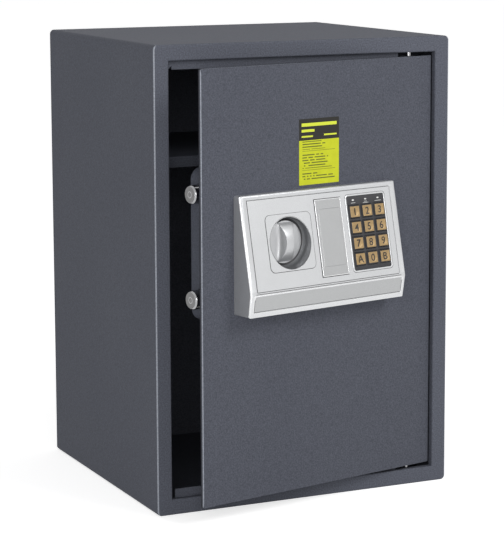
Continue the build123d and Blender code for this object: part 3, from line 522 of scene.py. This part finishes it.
plated("chrome", (0.36, 0.36, 0.37), 0.14, 0.004, 0.000004)
plated("turned_end", (0.20, 0.198, 0.20), 0.30, 0.0015, 0.00001)
plated("zinc_steel", (0.55, 0.56, 0.57), 0.32, 0.0025, 0.00001)
plated("brass", (0.70, 0.52, 0.22), 0.26, 0.002, 0.00001)
plated("key_gold", (0.35, 0.235, 0.105), 0.36, 0.0012, 0.000006, 0.4, 0.15)
print("all finishes:", len(finishes))

# %% [markdown]
# ### The label above the panel
# Safes of this kind carry a bright label with a dark head. Here the label says nothing: plain bars stand
# where lines of print would be. The pattern follows the label's own sheet, so it is written with the
# sheet's two coordinates, from 0 to 1 across and from 0 to 1 upward, and simple comparisons between them.

# %% Bars from comparisons


def combine(tree, operation, first, second=0.0):
    """A Math node on two values, each a socket or a number."""
    node = tree.nodes.new("ShaderNodeMath")
    node.operation = operation
    for slot, value in enumerate((first, second)):
        if isinstance(value, (int, float)):
            node.inputs[slot].default_value = value
        else:
            tree.links.new(value, node.inputs[slot])
    return node.outputs[0]


words_across, row_step = 26.0, 31.0


def bars(tree, across, up, low, high, pitch, thick, start, shortest, longest, blank=0.0):
    """1 on rows of bars between two heights: each row ends at its own place, and a share of it is blank."""
    row = combine(tree, "FLOOR", combine(tree, "DIVIDE", up, pitch))
    within = combine(tree, "FRACT", combine(tree, "DIVIDE", up, pitch))
    chance = tree.nodes.new("ShaderNodeTexWhiteNoise")
    chance.noise_dimensions = "1D"
    tree.links.new(row, chance.inputs["W"])
    end = tree.nodes.new("ShaderNodeMapRange")
    end.inputs["To Min"].default_value = shortest
    end.inputs["To Max"].default_value = longest
    tree.links.new(chance.outputs["Value"], end.inputs["Value"])
    mask = combine(tree, "LESS_THAN", within, thick)
    mask = combine(tree, "MULTIPLY", mask, combine(tree, "GREATER_THAN", across, start))
    mask = combine(tree, "MULTIPLY", mask, combine(tree, "LESS_THAN", across, end.outputs["Result"]))
    word = combine(tree, "ADD", combine(tree, "FLOOR", combine(tree, "MULTIPLY", across, words_across)),
                   combine(tree, "MULTIPLY", row, row_step))
    gap = tree.nodes.new("ShaderNodeTexWhiteNoise")
    gap.noise_dimensions = "1D"
    tree.links.new(word, gap.inputs["W"])
    mask = combine(tree, "MULTIPLY", mask, combine(tree, "GREATER_THAN", gap.outputs["Value"], blank))
    mask = combine(tree, "MULTIPLY", mask, combine(tree, "GREATER_THAN", up, low))
    return combine(tree, "MULTIPLY", mask, combine(tree, "LESS_THAN", up, high))


def layer(tree, below, above, mask):
    """Colour above where the mask is 1, and below where it is 0."""
    mix = tree.nodes.new("ShaderNodeMix")
    mix.data_type = "RGBA"
    for slot, value in (("A", below), ("B", above)):
        if isinstance(value, tuple):
            mix.inputs[slot].default_value = (*value, 1)
        else:
            tree.links.new(value, mix.inputs[slot])
    tree.links.new(mask, mix.inputs["Factor"])
    return mix.outputs["Result"]


# %% Label finish
line_pitch, line_share = 0.0405, 0.42
margin, shortest_line, blank_share = 0.08, 0.45, 0.1
head_height = 0.675
ink, small_ink, head_print = (0.014, 0.013, 0.010), (0.10, 0.11, 0.012), (0.60, 0.66, 0.05)
line_groups = [(0.535, 0.66, 0.7), (0.25, 0.485, 0.85), (0.06, 0.19, 0.95)]
rules, rule_thick, rule_end = (0.51, 0.22), 0.006, 0.9
head_bars = [(0.885, 0.935, 0.06, 0.94), (0.80, 0.84, 0.06, 0.38),
             (0.72, 0.745, 0.06, 0.34), (0.73, 0.755, 0.62, 0.94)]
tree, shader, place = start_finish("sticker", 0.4, gloss=0.3)
own = tree.nodes.new("ShaderNodeUVMap").outputs["UV"]
parts = tree.nodes.new("ShaderNodeSeparateXYZ")
tree.links.new(own, parts.inputs[0])
across, up = parts.outputs["X"], parts.outputs["Y"]
mottle = grain(tree, place, 0.012)
printed = shade(tree, mottle, (0.47, 0.50, 0.012), (0.52, 0.56, 0.018))
head = combine(tree, "GREATER_THAN", up, head_height)
for low, high, longest in line_groups:
    lines = bars(tree, across, up, low, high, line_pitch, line_share,
                 margin, shortest_line, longest, blank_share)
    printed = layer(tree, printed, small_ink, lines)
for height in rules:
    rule = bars(tree, across, up, height, height + rule_thick, 1.0, 1.0, margin, rule_end, rule_end)
    printed = layer(tree, printed, small_ink, rule)
printed = layer(tree, printed, ink, head)
for low, high, start, end in head_bars:
    bar = bars(tree, across, up, low, high, 1.0, 1.0, start, end, end)
    printed = layer(tree, printed, head_print, bar)
tree.links.new(printed, shader.inputs["Base Color"])
relief(tree, grain(tree, place, 0.0015), 0.00001, shader, 0.3)
print("label finish has", len(tree.nodes), "nodes")

# %% [markdown]
# ## Finishes on the solids
# Each solid was given the name of its finish when it was drawn, so a table is enough. The solids' meshes
# stay as they are. Where a sharp edge would look like cut glass, a copy with merged points gets a narrow
# bevel and stands in for the solid, because folded steel and mouldings always have a small radius
# that catches the light.

# %% Give every solid its finish
for name, solid in nodes.items():
    solid.data.materials.clear()
    solid.data.materials.append(finishes[slots[name]])
print("solids with a finish:", len(slots))

# %% [markdown]
# ### Edges that catch the light
# A folded sheet has no knife edge: its bend is round, and under a lamp at the side it shows as a thin
# bright line. Sanding every corner of the solids by hand would be one way. A Bevel modifier on a merged
# copy does it for all edges over a given angle, and on the door only for the long edges of its front,
# which are marked first, because a hole's small edges would make its bevel overlap. There the bevel also
# takes the paler, glossier copy of the coat, a painted highlight.

# %% Round the edges
flush, long_edge, sharp_edge = 2e-5, 0.06, radians(60)


def front_edges(work, point, normal):
    """Marks the long sharp edges whose two ends both lie in the plane through a point, across a normal."""
    chosen = work.edges.layers.float.new("bevel_weight_edge")
    for edge in work.edges:
        reach = max(abs((np.array(vert.co) - point) @ normal) for vert in edge.verts)
        folded = edge.calc_length() > long_edge and edge.calc_face_angle(0.0) > sharp_edge
        edge[chosen] = float(reach < flush and folded)


def eased(name, width, front=None):
    """A merged copy of a solid with a narrow bevel, on every edge or on the edges of its front."""
    solid = nodes[name]
    mesh = solid.data.copy()
    work = bmesh.new()
    work.from_mesh(mesh)
    bmesh.ops.remove_doubles(work, verts=work.verts, dist=1e-6)
    bmesh.ops.dissolve_limit(work, angle_limit=radians(0.5), verts=work.verts, edges=work.edges)
    if front:
        front_edges(work, *front)
    work.to_mesh(mesh)
    work.free()
    mesh.shade_smooth()
    copy = bpy.data.objects.new(name + "_eased", mesh)
    bpy.context.scene.collection.objects.link(copy)
    bevel = copy.modifiers.new("bevel", "BEVEL")
    bevel.width = width
    bevel.segments = 2
    bevel.limit_method = "ANGLE"
    bevel.angle_limit = radians(32)
    # On the door's front edges the bevel takes the paler copy of the coat: a painted highlight.
    if front:
        copy.data.materials.append(finishes["powder_painted_highlight"])
        bevel.limit_method = "WEIGHT"
        bevel.material = 1
        bevel.use_clamp_overlap = False
    weighted = copy.modifiers.new("flat_faces_first", "WEIGHTED_NORMAL")
    weighted.weight = 80
    weighted.keep_sharp = True
    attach(copy, body_of(solid)[0])
    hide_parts(name)
    return copy


edge_widths = {
    "cabinet_shell": 0.0004, "front_frame": 0.0004, "door_plate": 0.0009, "panel_housing": 0.00025,
    "knob_bezel": 0.0003, "lock_cover_plate": 0.0002, "inner_cover": 0.0003, "shelf": 0.0003,
    "battery_lid": 0.0003, "bolt_upper": 0.0003, "bolt_lower": 0.0003,
}
outward = on_door(np.array([0.0, -1000.0, 0.0])) - on_door(np.zeros(3))
fronts = {"door_plate": (on_door(np.array([0.0, door_front, 0.0])), outward)}
eased_solids = {name: eased(name, width, fronts.get(name)) for name, width in edge_widths.items()}
print("eased solids:", len(eased_solids))

# %% [markdown]
# ### More than one finish on a piece
# The frame's face gets a lighter copy of the coat than the walls and the door, painted light where the lamps
# fall better on it; its outer bends get the painted highlight, and its folded returns keep the darker coat
# as painted shade. The bezel is silver, but its bowl gets a darker copy of the silver: painted shade round
# the knob.
# The pieces could be cut apart along those borders. A face of a mesh can simply name another finish, and
# where it lies and which way it looks decide which one.

# %% Finishes by place and direction
frame_front, stile_edge, slant = -0.155, 0.171, 0.3
bowl_below = 0.7


def face_values(mesh, what):
    """Three numbers for each face of a mesh: its normal or its centre."""
    values = np.empty(len(mesh.polygons) * 3)
    mesh.polygons.foreach_get(what, values)
    return values.reshape(-1, 3)


eased_solids["lock_cover_plate"].data.materials[0] = finishes["silver_cover"]
frame_mesh = eased_solids["front_frame"].data
frame_mesh.materials[0] = finishes["powder_painted_lit_frame"]
frame_mesh.materials.append(finishes["powder_painted_highlight"])
frame_mesh.materials.append(finishes["powder_coat"])
facing, middle = face_values(frame_mesh, "normal"), face_values(frame_mesh, "center")
# Outer bends take the painted highlight, and faces behind the front take the darker coat as painted shade.
outer = (np.abs(middle[:, 0]) > stile_edge) & (middle[:, 1] < frame_front)
bend = outer & (np.abs(facing[:, 0]) > slant) & (np.abs(facing[:, 1]) > slant)
inside = middle[:, 1] > frame_front
frame_mesh.polygons.foreach_set("material_index", (bend + 2 * inside).astype(np.int32))
print("faces on the frame's outer bends:", int(bend.sum()))

# Faces of the bezel behind the face plane, in the bowl, take the darker silver as painted shade.
bezel = eased_solids["knob_bezel"].data
bezel.materials.append(finishes["silver_painted_shade_bowl"])
under_face = on_face(np.array([0.0, 0.0, -bowl_below]))
inward = on_face(np.zeros(3)) - on_face(np.array([0.0, 0.0, 1.0]))
behind = (face_values(bezel, "center") - under_face) @ inward
bezel.polygons.foreach_set("material_index", (behind > 0).astype(np.int32))
print("faces in the bowl:", int((behind > 0).sum()))

# %% [markdown]
# ## The knob
# The knob is a disc with a grip across it. The grip is part of a dome, and two coves scoop its sides, so
# it is broad at its ends and slim in the middle, for a thumb and a finger. It could be cut
# from a dome with two round cutters. Here every slice across the grip is one closed outline, and the
# coves' edges always lie on the same columns of points, so they stay crisp all the way along.

# %% Knob as slices
knob_back = -5.7
knob_radius = 22.5
disc_rise = 3.0
grip_rise = 11.0
dome_radius = 24.9
waist_half = 4.8
cove_radius = 48.0
cove_width = 5.6


def grip_half(y):
    """Half the grip's width: the waist, and what an arc of the cove's radius has left it after y."""
    return waist_half + cove_radius - np.sqrt(cove_radius ** 2 - y ** 2)


def grip_top(y):
    """Height of the grip's crest over the disc: an arc of the dome's radius along y, never below 0."""
    return np.maximum(grip_rise - dome_radius + np.sqrt(np.maximum(dome_radius ** 2 - y ** 2, 0.0)), 0.05)


def knob_slices(many):
    """For each y: the crest, a quarter-round cove down to the disc, its flat, its round rim and its back."""
    y = -knob_radius * np.cos(np.linspace(0.02, np.pi - 0.02, many))
    chord = np.sqrt(knob_radius ** 2 - y ** 2)[:, None]
    half, top = grip_half(y)[:, None], grip_top(y)[:, None]
    on_crest = np.linspace(0.0, 0.93, 7)
    in_cove = 1 - np.cos(np.linspace(0.0, np.pi / 2, 15))
    crest_x = on_crest * half
    crest_h = disc_rise + top * (1 - 0.04 * on_crest ** 2)
    shoulder_x, shoulder_h = half * 0.99, disc_rise + top * 0.93
    cove_x = half + in_cove * cove_width
    cove_h = disc_rise + top * 0.90 * (1 - np.sqrt(1 - (1 - in_cove) ** 2))
    flat_x = half + cove_width + np.linspace(0.1, 1.0, 6) * np.maximum(chord - 0.7 - half - cove_width, 0.0)
    flat_h = np.full_like(flat_x, disc_rise)
    x = np.concatenate([crest_x, shoulder_x, cove_x, flat_x], 1)
    h = np.concatenate([crest_h, shoulder_h, cove_h, flat_h], 1)
    x = np.minimum(x, np.maximum(chord - 0.7, chord * 0.6))
    rim_x = np.concatenate([np.maximum(chord - 0.2, chord * 0.8), chord, chord], 1)
    last = h[:, -1:]
    rim_h = np.concatenate([last - 0.15, last - 0.7, np.zeros_like(last)], 1)
    right_x, right_h = np.concatenate([x, rim_x], 1), np.concatenate([h, rim_h], 1)
    ring_x = np.concatenate([right_x, -right_x[:, ::-1]], 1)
    ring_h = np.concatenate([right_h, right_h[:, ::-1]], 1)
    ring_y = np.broadcast_to(y[:, None], ring_x.shape)
    return np.stack([knob_x + ring_x, knob_back - ring_h, lock_z + ring_y], -1)


knob_points, knob_faces = closed_shape(knob_slices(121))
knob = piece("knob_grip", [(on_door(knob_points), knob_faces)], "knob", "silver_knob", 40)
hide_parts("knob")

# %% [markdown]
# ### The dark gap round the knob
# Between the disc and the bowl is a narrow gap that lets in hardly any light. It could be left to shadow
# alone, but the bowl's paint would still shine in it. A thin black ring, a painted shadow, lies on the bowl
# instead and follows it as it curves up: a circle of the bowl's own radius, carried round the knob.

# %% Ring on the bowl
gap_reach = np.array([21.4, 22.6, 23.6, 24.5, 25.2, 25.2, 21.4])
gap_lift = np.array([0.12, 0.12, 0.12, 0.12, 0.12, 0.02, 0.02])
bowl_flat, bowl_round, bowl_floor = 20.0, 7.0, 4.9
floor_rise = bowl_round - np.sqrt(bowl_round ** 2 - np.maximum(gap_reach - bowl_flat, 0.0) ** 2)
gap_rings = stack([rounded_ring(reach, reach, reach, 96) for reach in gap_reach], floor_rise + gap_lift)
gap_points, gap_faces = closed_band(gap_rings)
gap_points = np.stack([knob_x + gap_points[:, 0], -bowl_floor - gap_points[:, 2],
                       lock_z + gap_points[:, 1]], -1)
# A black ring for the shadow in the gap and on the bowl's curve: a painted shadow.
piece("knob_painted_shadow_ring", [(on_door(gap_points), gap_faces)], "door", "black_plastic", 60)

# %% [markdown]
# ## Trim on the panel
# The face lies inside a low rounded rim on three sides, and dark gaps as thin as a thread show where the
# plates meet. The gaps could be left to shadow alone, but a gap under half a millimetre wide needs a dark
# floor to be seen at all, so a dark band lies in each gap and groove as painted shade. The rim is one
# profile carried along the left side, the top and the right side; the gaps are flat bands between two
# rounded rectangles, and where a plate stands a little proud, the inner rectangle is moved to the right, so
# that the band is broader at the left, painted shade for the plate's side wall there.

# %% Rim along three sides of the face
rim_along = np.array([0.0, 0.03, 0.10, 0.22, 0.45, 0.72, 0.92, 1.0, 1.0, 0.0])
rim_height = np.array([-0.35, 0.15, 0.52, 0.68, 0.66, 0.56, 0.36, 0.05, -0.5, -0.5])
rim_side, rim_side_width = 1.3, 6.0
rim_top, rim_top_width = 0.35, 3.7
rim_foot, rim_turn, rim_end = -99.6, 0.4, 0.8


def rim_rings():
    """The profile at each of the path's eight stops, drawn in by its own distance from every side."""
    from_side, from_top = rim_side + rim_side_width * rim_along, rim_top + rim_top_width * rim_along
    start, end, top = -panel_half + from_side, panel_half - from_side, -from_top
    low = np.full_like(start, rim_foot)
    stops_x = np.stack([start, start, start, start + rim_turn, end - rim_turn, end, end, end])
    stops_y = np.stack([low, low + rim_end, top - rim_turn, top, top, top - rim_turn, low + rim_end, low])
    shrink = np.array([0.35, 1, 1, 1, 1, 1, 1, 0.35])[:, None]
    return np.stack([stops_x, stops_y, rim_height * shrink], -1)


rim_points, rim_faces = closed_shape(rim_rings())
piece("panel_rim", [(on_face(rim_points), rim_faces)], "door", "silver_plastic", 50)

# %% Gaps between the plates
band_thick = 0.04


def flat_band(half, radius, middle, width, height, lean=(0.0, 0.0)):
    """A thin band whose inner rectangle is smaller by its width and may lean to one side."""
    half, lean = np.asarray(half, float), np.asarray(lean, float)
    outer = rounded_ring(*half, radius, 64)
    inner = rounded_ring(*(half - width), max(radius - width, 0.05), 64) + lean
    low = height - band_thick
    points, faces = closed_band(stack([outer, outer, inner, inner], [low, height, height, low]))
    return points + np.append(middle, 0.0), faces


# %% Bands on the face and on the lower band
knob_middle = np.array([knob_x - panel_middle, -knob_below_top])
cover_middle = np.array([cover_x - panel_middle, -knob_below_top])
on_plate, sunk = 0.03, -0.28
bezel_half, bowl_edge = 30.35, 27.25
# Dark bands of painted shade in the gaps and grooves, broader at the left where a plate stands proud.
gap_shapes = {
    "inside the rim": flat_band((96.6, 47.85), 0.6, (0.0, -52.75), 0.55, sunk),
    "bezel": flat_band((bezel_half, bezel_half), 6.3, knob_middle, 0.5, on_plate, (0.3, 0.12)),
    "bowl": flat_band((bowl_edge, bowl_edge), bowl_edge, knob_middle, 0.3, on_plate),
    "cover plate": flat_band((18.4, 41.65), 0.5, cover_middle, 0.65, on_plate, (0.35, 0.12)),
    "keypad": flat_band((28.0, 42.0), 4.0, pad_middle, 0.4, on_plate, (-0.15, 0.1)),
    "fold": flat_band((98.5, 0.35), 0.3, (0.0, -102.3), 0.3, 0.06),
}
shapes = [(on_face(points), faces) for points, faces in gap_shapes.values()]
points, faces = flat_band((99.6, 6.6), 0.5, (0.0, -12.0), 0.5, sunk)
piece("panel_gaps", shapes + [(on_band(points), faces)], "door", "gap_shadow", 60)

# %% [markdown]
# ### Lines on the cover plate and on the lower band
# The cover plate has a thin raised border in a lighter silver, a painted highlight where it catches the
# lamps, and a smaller rectangle is scored inside it as a dark band of painted shade. The lower band holds a
# darker strip with a raised border of its own in the same lighter silver. A curve with a round bevel would
# draw such a border. Here it is a circle carried round a rounded rectangle and half sunk in the plate, which
# uses the same rings as everything else. The cover's lines ride with the cover when it is pulled off.

# %% Lines on the cover plate
# The scored rectangle: a dark band of painted shade.
points, faces = flat_band((14.45, 30.55), 0.4, cover_middle, 0.4, 0.84, (0.1, -0.05))
piece("cover_gap", [(on_face(points), faces)], "lock_cover", "gap_shadow", 60)


def raised_line(half_x, half_y, radius, thick, middle, height):
    """A round wire of silver laid along a rounded rectangle, half sunk in the plate."""
    turn = np.linspace(0, 2 * np.pi, 8, endpoint=False)
    rings = [rounded_ring(half_x + g, half_y + g, radius + g, 64) for g in thick * np.cos(turn)]
    points, faces = closed_band(stack(rings, thick * np.sin(turn)))
    return points + np.array([middle[0], middle[1], height]), faces


# The raised border in lighter silver: a painted highlight.
points, faces = raised_line(17.2, 40.45, 0.5, 0.38, cover_middle, 0.72)
piece("cover_line", [(on_face(points), faces)], "lock_cover", "silver_painted_highlight_line", 60)

# %% Inlay and raised line on the lower band
inlay_ring = rounded_ring(98.8, 8.1, 0.4, 64)
points, faces = closed_shape(stack([inlay_ring, inlay_ring], [-0.05, 0.06]))
piece("band_inlay", [(on_band(points + np.array([0.0, -9.9, 0.0])), faces)], "door", "silver_inlay", 60)
# The band's border in lighter silver: a painted highlight.
points, faces = raised_line(100.4, 9.3, 0.8, 0.42, (0.0, -10.2), 0.0)
piece("band_line", [(on_band(points), faces)], "door", "silver_painted_highlight_line", 60)

# %% [markdown]
# ## Turned ends on the bolts
# Each bolt's end was turned in a lathe, which leaves a shallow dish with a small pit in the middle and a
# step round it. One profile from the rim to the middle, carried round the bolt's own line, gives it. A flat
# band of paler zinc finish on the step is a painted highlight, the bright ring that the lamps draw there.

# %% Bolt ends
bolt_tip, bolt_y, bolt_reach = door_left - 0.2, 20.5, 55.0
end_reach = np.array([8.5, 8.4, 8.1, 7.7, 7.3, 5.0, 3.2, 2.7, 1.2])
end_height = np.array([-0.2, 0.10, 0.16, 0.13, 0.03, 0.02, 0.02, 0.08, 0.05])


def on_bolt(points, bolt_z):
    """Points of a bolt's end: x and y across it from its middle, z out of it."""
    return on_door(np.stack([bolt_tip - points[:, 2], bolt_y + points[:, 0], bolt_z + points[:, 1]], -1))


end_rings = stack([rounded_ring(reach, reach, reach, 64) for reach in end_reach], end_height)
for name, bolt_z in (("upper", lock_z + bolt_reach), ("lower", lock_z - bolt_reach)):
    points, faces = closed_shape(end_rings)
    piece("bolt_end_" + name, [(on_bolt(points, bolt_z), faces)], "bolts", "turned_end", 30)
    # A band of paler zinc on the pit's rim: a painted highlight.
    points, faces = flat_band((3.4, 3.4), 3.4, (0.0, 0.0), 0.5, 0.13)
    piece("bolt_painted_highlight_ring_" + name, [(on_bolt(points, bolt_z), faces)], "bolts", "zinc_steel", 30)

# %% [markdown]
# ## The keypad's frame
# The pad is a black plate with a window for every key. A flat plate with rectangular windows is a grid:
# the windows' edges give its lines across and up, and the cells that fall in a window are left out. A
# Solidify modifier gives it thickness, and a bevel softens every edge. Round the plate the silver panel
# rises in a small bead, made as rounded rectangles that grow while they rise and sink again.

# %% Windows from two lists of lines
key_size = np.array([14.0, 14.2])
gold_size = np.array([12.3, 11.5])
key_pitch = np.array([17.2, 16.9])
keys_below_middle, window_gap, plate_rise = 2.55, 0.5, 0.5
key_middle = np.array([keypad_x - panel_middle, -keypad_below_top - keys_below_middle])
key_names = ["1", "2", "3", "4", "5", "6", "7", "8", "9", "a", "0", "b"]
window = key_size + window_gap


def window_lines(middle, pitch, width, many, low, high):
    """The plate's two ends, and both edges of each window between them."""
    centres = middle + (np.arange(many) - (many - 1) / 2) * pitch
    return np.concatenate([[low], (centres[:, None] + np.array([-width / 2, width / 2])).ravel(), [high]])


pad_low, pad_high = pad_middle - pad_half, pad_middle + pad_half
lines_x = window_lines(key_middle[0], key_pitch[0], window[0], 3, pad_low[0], pad_high[0])
lines_y = window_lines(key_middle[1], key_pitch[1], window[1], 4, pad_low[1], pad_high[1])
grid_x, grid_y = np.meshgrid(lines_x, lines_y, indexing="ij")
plate_points = np.stack([grid_x, grid_y, np.full_like(grid_x, plate_rise)], -1).reshape(-1, 3)
cell = np.arange(grid_x.size).reshape(grid_x.shape)
cells = np.stack([cell[:-1, :-1], cell[1:, :-1], cell[1:, 1:], cell[:-1, 1:]], -1)
rib_x = np.arange(len(lines_x) - 1)[:, None] % 2 == 0
rib_y = np.arange(len(lines_y) - 1)[None, :] % 2 == 0
plate_faces = cells[rib_x | rib_y].tolist()
plate = piece("keypad_plate", [(on_face(plate_points), plate_faces)], "door", "black_plastic", 30)
thickness = plate.modifiers.new("thickness", "SOLIDIFY")
thickness.thickness = 0.0034
thickness.offset = -1.0
softness = plate.modifiers.new("softness", "BEVEL")
softness.width = 0.0003
softness.segments = 2
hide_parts("keypad_frame")

# %% Bead of the panel round the plate
around = np.linspace(0, 2 * np.pi, 12, endpoint=False)
grow = 1.15 + 0.95 * np.cos(around)
rise = 0.05 + 0.55 * np.sin(around)
bead_rings = stack([rounded_ring(*(pad_half + g), 2.0 + g, 96) for g in grow], rise)
points, faces = closed_band(bead_rings)
points = on_face(points + np.append(pad_middle, 0.0))
piece("keypad_bead", [(points, faces)], "door", "silver_plastic", 60)

# %% [markdown]
# ## The keys
# Each key is a black cap with broad sloping sides, and a bronze-coloured tile lies on it. The tile's middle
# is hollowed to a round dish, so that a fingertip finds it. Both are stacks of rings: the cap goes from one
# rounded rectangle to a smaller one, and the tile from a rectangle to circles.

# %% Caps and tiles
tile_top, tile_base = 2.1, 1.4
dish_depth, dish_radius = 0.6, 4.9


def dish_height(x, y):
    """Height of a tile: flat outside the dish's circle, and a shallow bowl like a parabola inside it."""
    reach = np.minimum((x ** 2 + y ** 2) / dish_radius ** 2, 1.0)
    return tile_top - dish_depth * (1.0 - reach)


def key_place(number):
    """The middle of a key on the panel's face, counting along the rows from the top left."""
    step = np.array([number % 3 - 1, 1.5 - number // 3])
    return np.append(key_middle + step * key_pitch, 0.0)


def key_cap():
    """Straight sides up to the plate, then a slope to the tile's own size, and a flat top."""
    sizes = [key_size / 2, key_size / 2, key_size / 2 - 0.15, gold_size / 2 + 0.1, gold_size / 2 - 0.5]
    rings = [rounded_ring(size[0], size[1], 0.5, 32) for size in sizes]
    return closed_shape(stack(rings, [-2.6, 0.35, 0.6, 1.7, 1.3]))


def key_tile():
    """A thin tile: its sides, a small rounded edge, and circles that sink into the dish."""
    insets = [0.0, 0.0, 0.12, 0.3]
    rings = [rounded_ring(*(gold_size / 2 - inset), 0.35, 48) for inset in insets]
    angle = (np.arange(48) + 0.5) * 2 * np.pi / 48
    circle = np.stack([np.cos(angle), np.sin(angle)], -1) * dish_radius
    scales = np.array([1.0, 0.93, 0.75, 0.5, 0.25, 0.08])
    rings += [circle * scale for scale in scales]
    heights = np.concatenate([[tile_base, 1.98, 2.07, tile_top], dish_height(dish_radius * scales, 0.0)])
    return closed_shape(stack(rings, heights))


cap_points, cap_faces = key_cap()
tile_points, tile_faces = key_tile()
for number, name in enumerate(key_names):
    key, place = "key_" + name, key_place(number)
    cap = piece("key_cap_" + name, [(on_face(cap_points + place), cap_faces)], key, "black_plastic", 20)
    piece("key_tile_" + name, [(on_face(tile_points + place), tile_faces)], key, "key_gold", 20)
    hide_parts(key)

# %% [markdown]
# ### Figures on the keys
# The figures are printed in dark ink. A font gives their outlines once, and their points are then laid on
# the formula of the dish, so that the ink follows it.

# %% Figures laid into the dishes
figure_height, figure_lift = 7.7, 0.03
capital_share = 0.7


def figure(text, height):
    """The outline of a figure as points and faces, centred, with a small thickness."""
    curve = bpy.data.curves.new("figure", "FONT")
    curve.body = text
    curve.size = height / capital_share
    curve.offset = 0.12
    curve.extrude = 0.04
    curve.resolution_u = 6
    writer = bpy.data.objects.new("figure", curve)
    mesh = bpy.data.meshes.new_from_object(writer)
    points = np.empty(len(mesh.vertices) * 3)
    mesh.vertices.foreach_get("co", points)
    points = points.reshape(-1, 3)
    points[:, :2] -= (points[:, :2].min(0) + points[:, :2].max(0)) / 2
    faces = [list(f.vertices) for f in mesh.polygons]
    bpy.data.objects.remove(writer)
    return points, faces


for number, name in enumerate(key_names):
    points, faces = figure(name.upper(), figure_height)
    points[:, 2] += dish_height(points[:, 0], points[:, 1]) + figure_lift
    piece("figure_" + name, [(on_face(points + key_place(number)), faces)], "key_" + name, "legend")
print("figures:", len(key_names))

# %% [markdown]
# ### Lamps and small print
# Three lamps sit over the keys, each a small oblong lens with a rounded front, and on the real pad each has
# a word under it. Here plain bars stand in for the words, as thin as ink.

# %% Lenses, and bars under them
lamps_below_top = 4.2
lens_half, lens_round = (1.35, 0.75), 0.5
word_bars = [(0, 6.0, 3.0), (1, 4.0, 2.5), (1, 8.0, 3.9), (2, 9.0, 3.0)]


def at_lamp(points, column, drop=0.0):
    """Points about a lamp of one of the three columns, or about a place below it."""
    middle = pad_middle + np.array([(column - 1) * key_pitch[0], pad_half[1] - lamps_below_top - drop])
    return on_face(points + np.append(middle, 0.0))


rings = [rounded_ring(lens_half[0] - inset, lens_half[1] - inset, lens_round - inset * 0.5, 24)
         for inset in (0.0, 0.0, 0.12, 0.35)]
points, faces = closed_shape(stack(rings, [-1.0, 0.55, 0.75, 0.85]))
lenses = piece("lamp_lenses", [(at_lamp(points, column), faces) for column in range(3)], "door", "lamp")
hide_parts("status_lamps")
bar_shapes = []
for column, length, drop in word_bars:
    ring = rounded_ring(length / 2, 0.3, 0.15, 16)
    points, faces = closed_shape(stack([ring, ring], [0.46, 0.53]))
    bar_shapes.append((at_lamp(points, column, drop), faces))
piece("lamp_print", bar_shapes, "door", "pale_print")

# %% [markdown]
# ## The label
# A label is a thin sheet whose corners are rounded by the cutting die. It is made as one closed sheet, its
# outline pressed from a square grid, with the two numbers of its pattern written beside each corner.

# %% Label sheet
label_width, label_length, label_bottom = 54.0, 70.0, 349.5
label_middle = door_left + 154.0
label_thick, label_round = 0.2, 0.5


def label_sheet(columns, rows):
    """A grid across and up, its corners drawn in to a small radius, on the door's face."""
    u, v = np.meshgrid(np.linspace(0, 1, columns), np.linspace(0, 1, rows), indexing="ij")
    x, z = (u - 0.5) * label_width, (v - 0.5) * label_length
    straight_x, straight_z = label_width / 2 - label_round, label_length / 2 - label_round
    past_x, past_z = np.maximum(np.abs(x) - straight_x, 0), np.maximum(np.abs(z) - straight_z, 0)
    pull = np.minimum(label_round / np.maximum(np.hypot(past_x, past_z), 1e-6), 1.0)
    x = np.sign(x) * (np.minimum(np.abs(x), straight_x) + past_x * pull)
    z = np.sign(z) * (np.minimum(np.abs(z), straight_z) + past_z * pull)
    return u, v, x + label_middle, z + label_bottom + label_length / 2


u, v, x, z = label_sheet(55, 71)
count = u.size
front = np.stack([x, np.full_like(x, door_front - label_thick), z], -1).reshape(-1, 3)
back = np.stack([x, np.full_like(x, door_front), z], -1).reshape(-1, 3)
here = np.arange(count).reshape(u.shape)
quads = np.stack([here[:-1, :-1], here[1:, :-1], here[1:, 1:], here[:-1, 1:]], -1).reshape(-1, 4)
rim = np.concatenate([here[:, 0], here[-1, 1:], here[-2::-1, -1], here[0, -2:0:-1]])
edge = np.stack([rim, rim + count, np.roll(rim, -1) + count, np.roll(rim, -1)], -1)
faces = np.concatenate([quads, quads[:, ::-1] + count, edge])
label = piece("label", [(on_door(np.concatenate([front, back])), faces.tolist())], "door", "sticker")

# %% Two numbers beside each corner of the sheet
layer_uv = label.data.uv_layers.new(name="sheet")
corner = np.empty(len(label.data.loops), dtype=np.int32)
label.data.loops.foreach_get("vertex_index", corner)
sheet_uv = np.stack([np.tile(u.ravel(), 2), np.tile(v.ravel(), 2)], -1)
layer_uv.data.foreach_set("uv", sheet_uv[corner].ravel())
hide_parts("sticker")
print("corners with a pattern place:", len(corner))
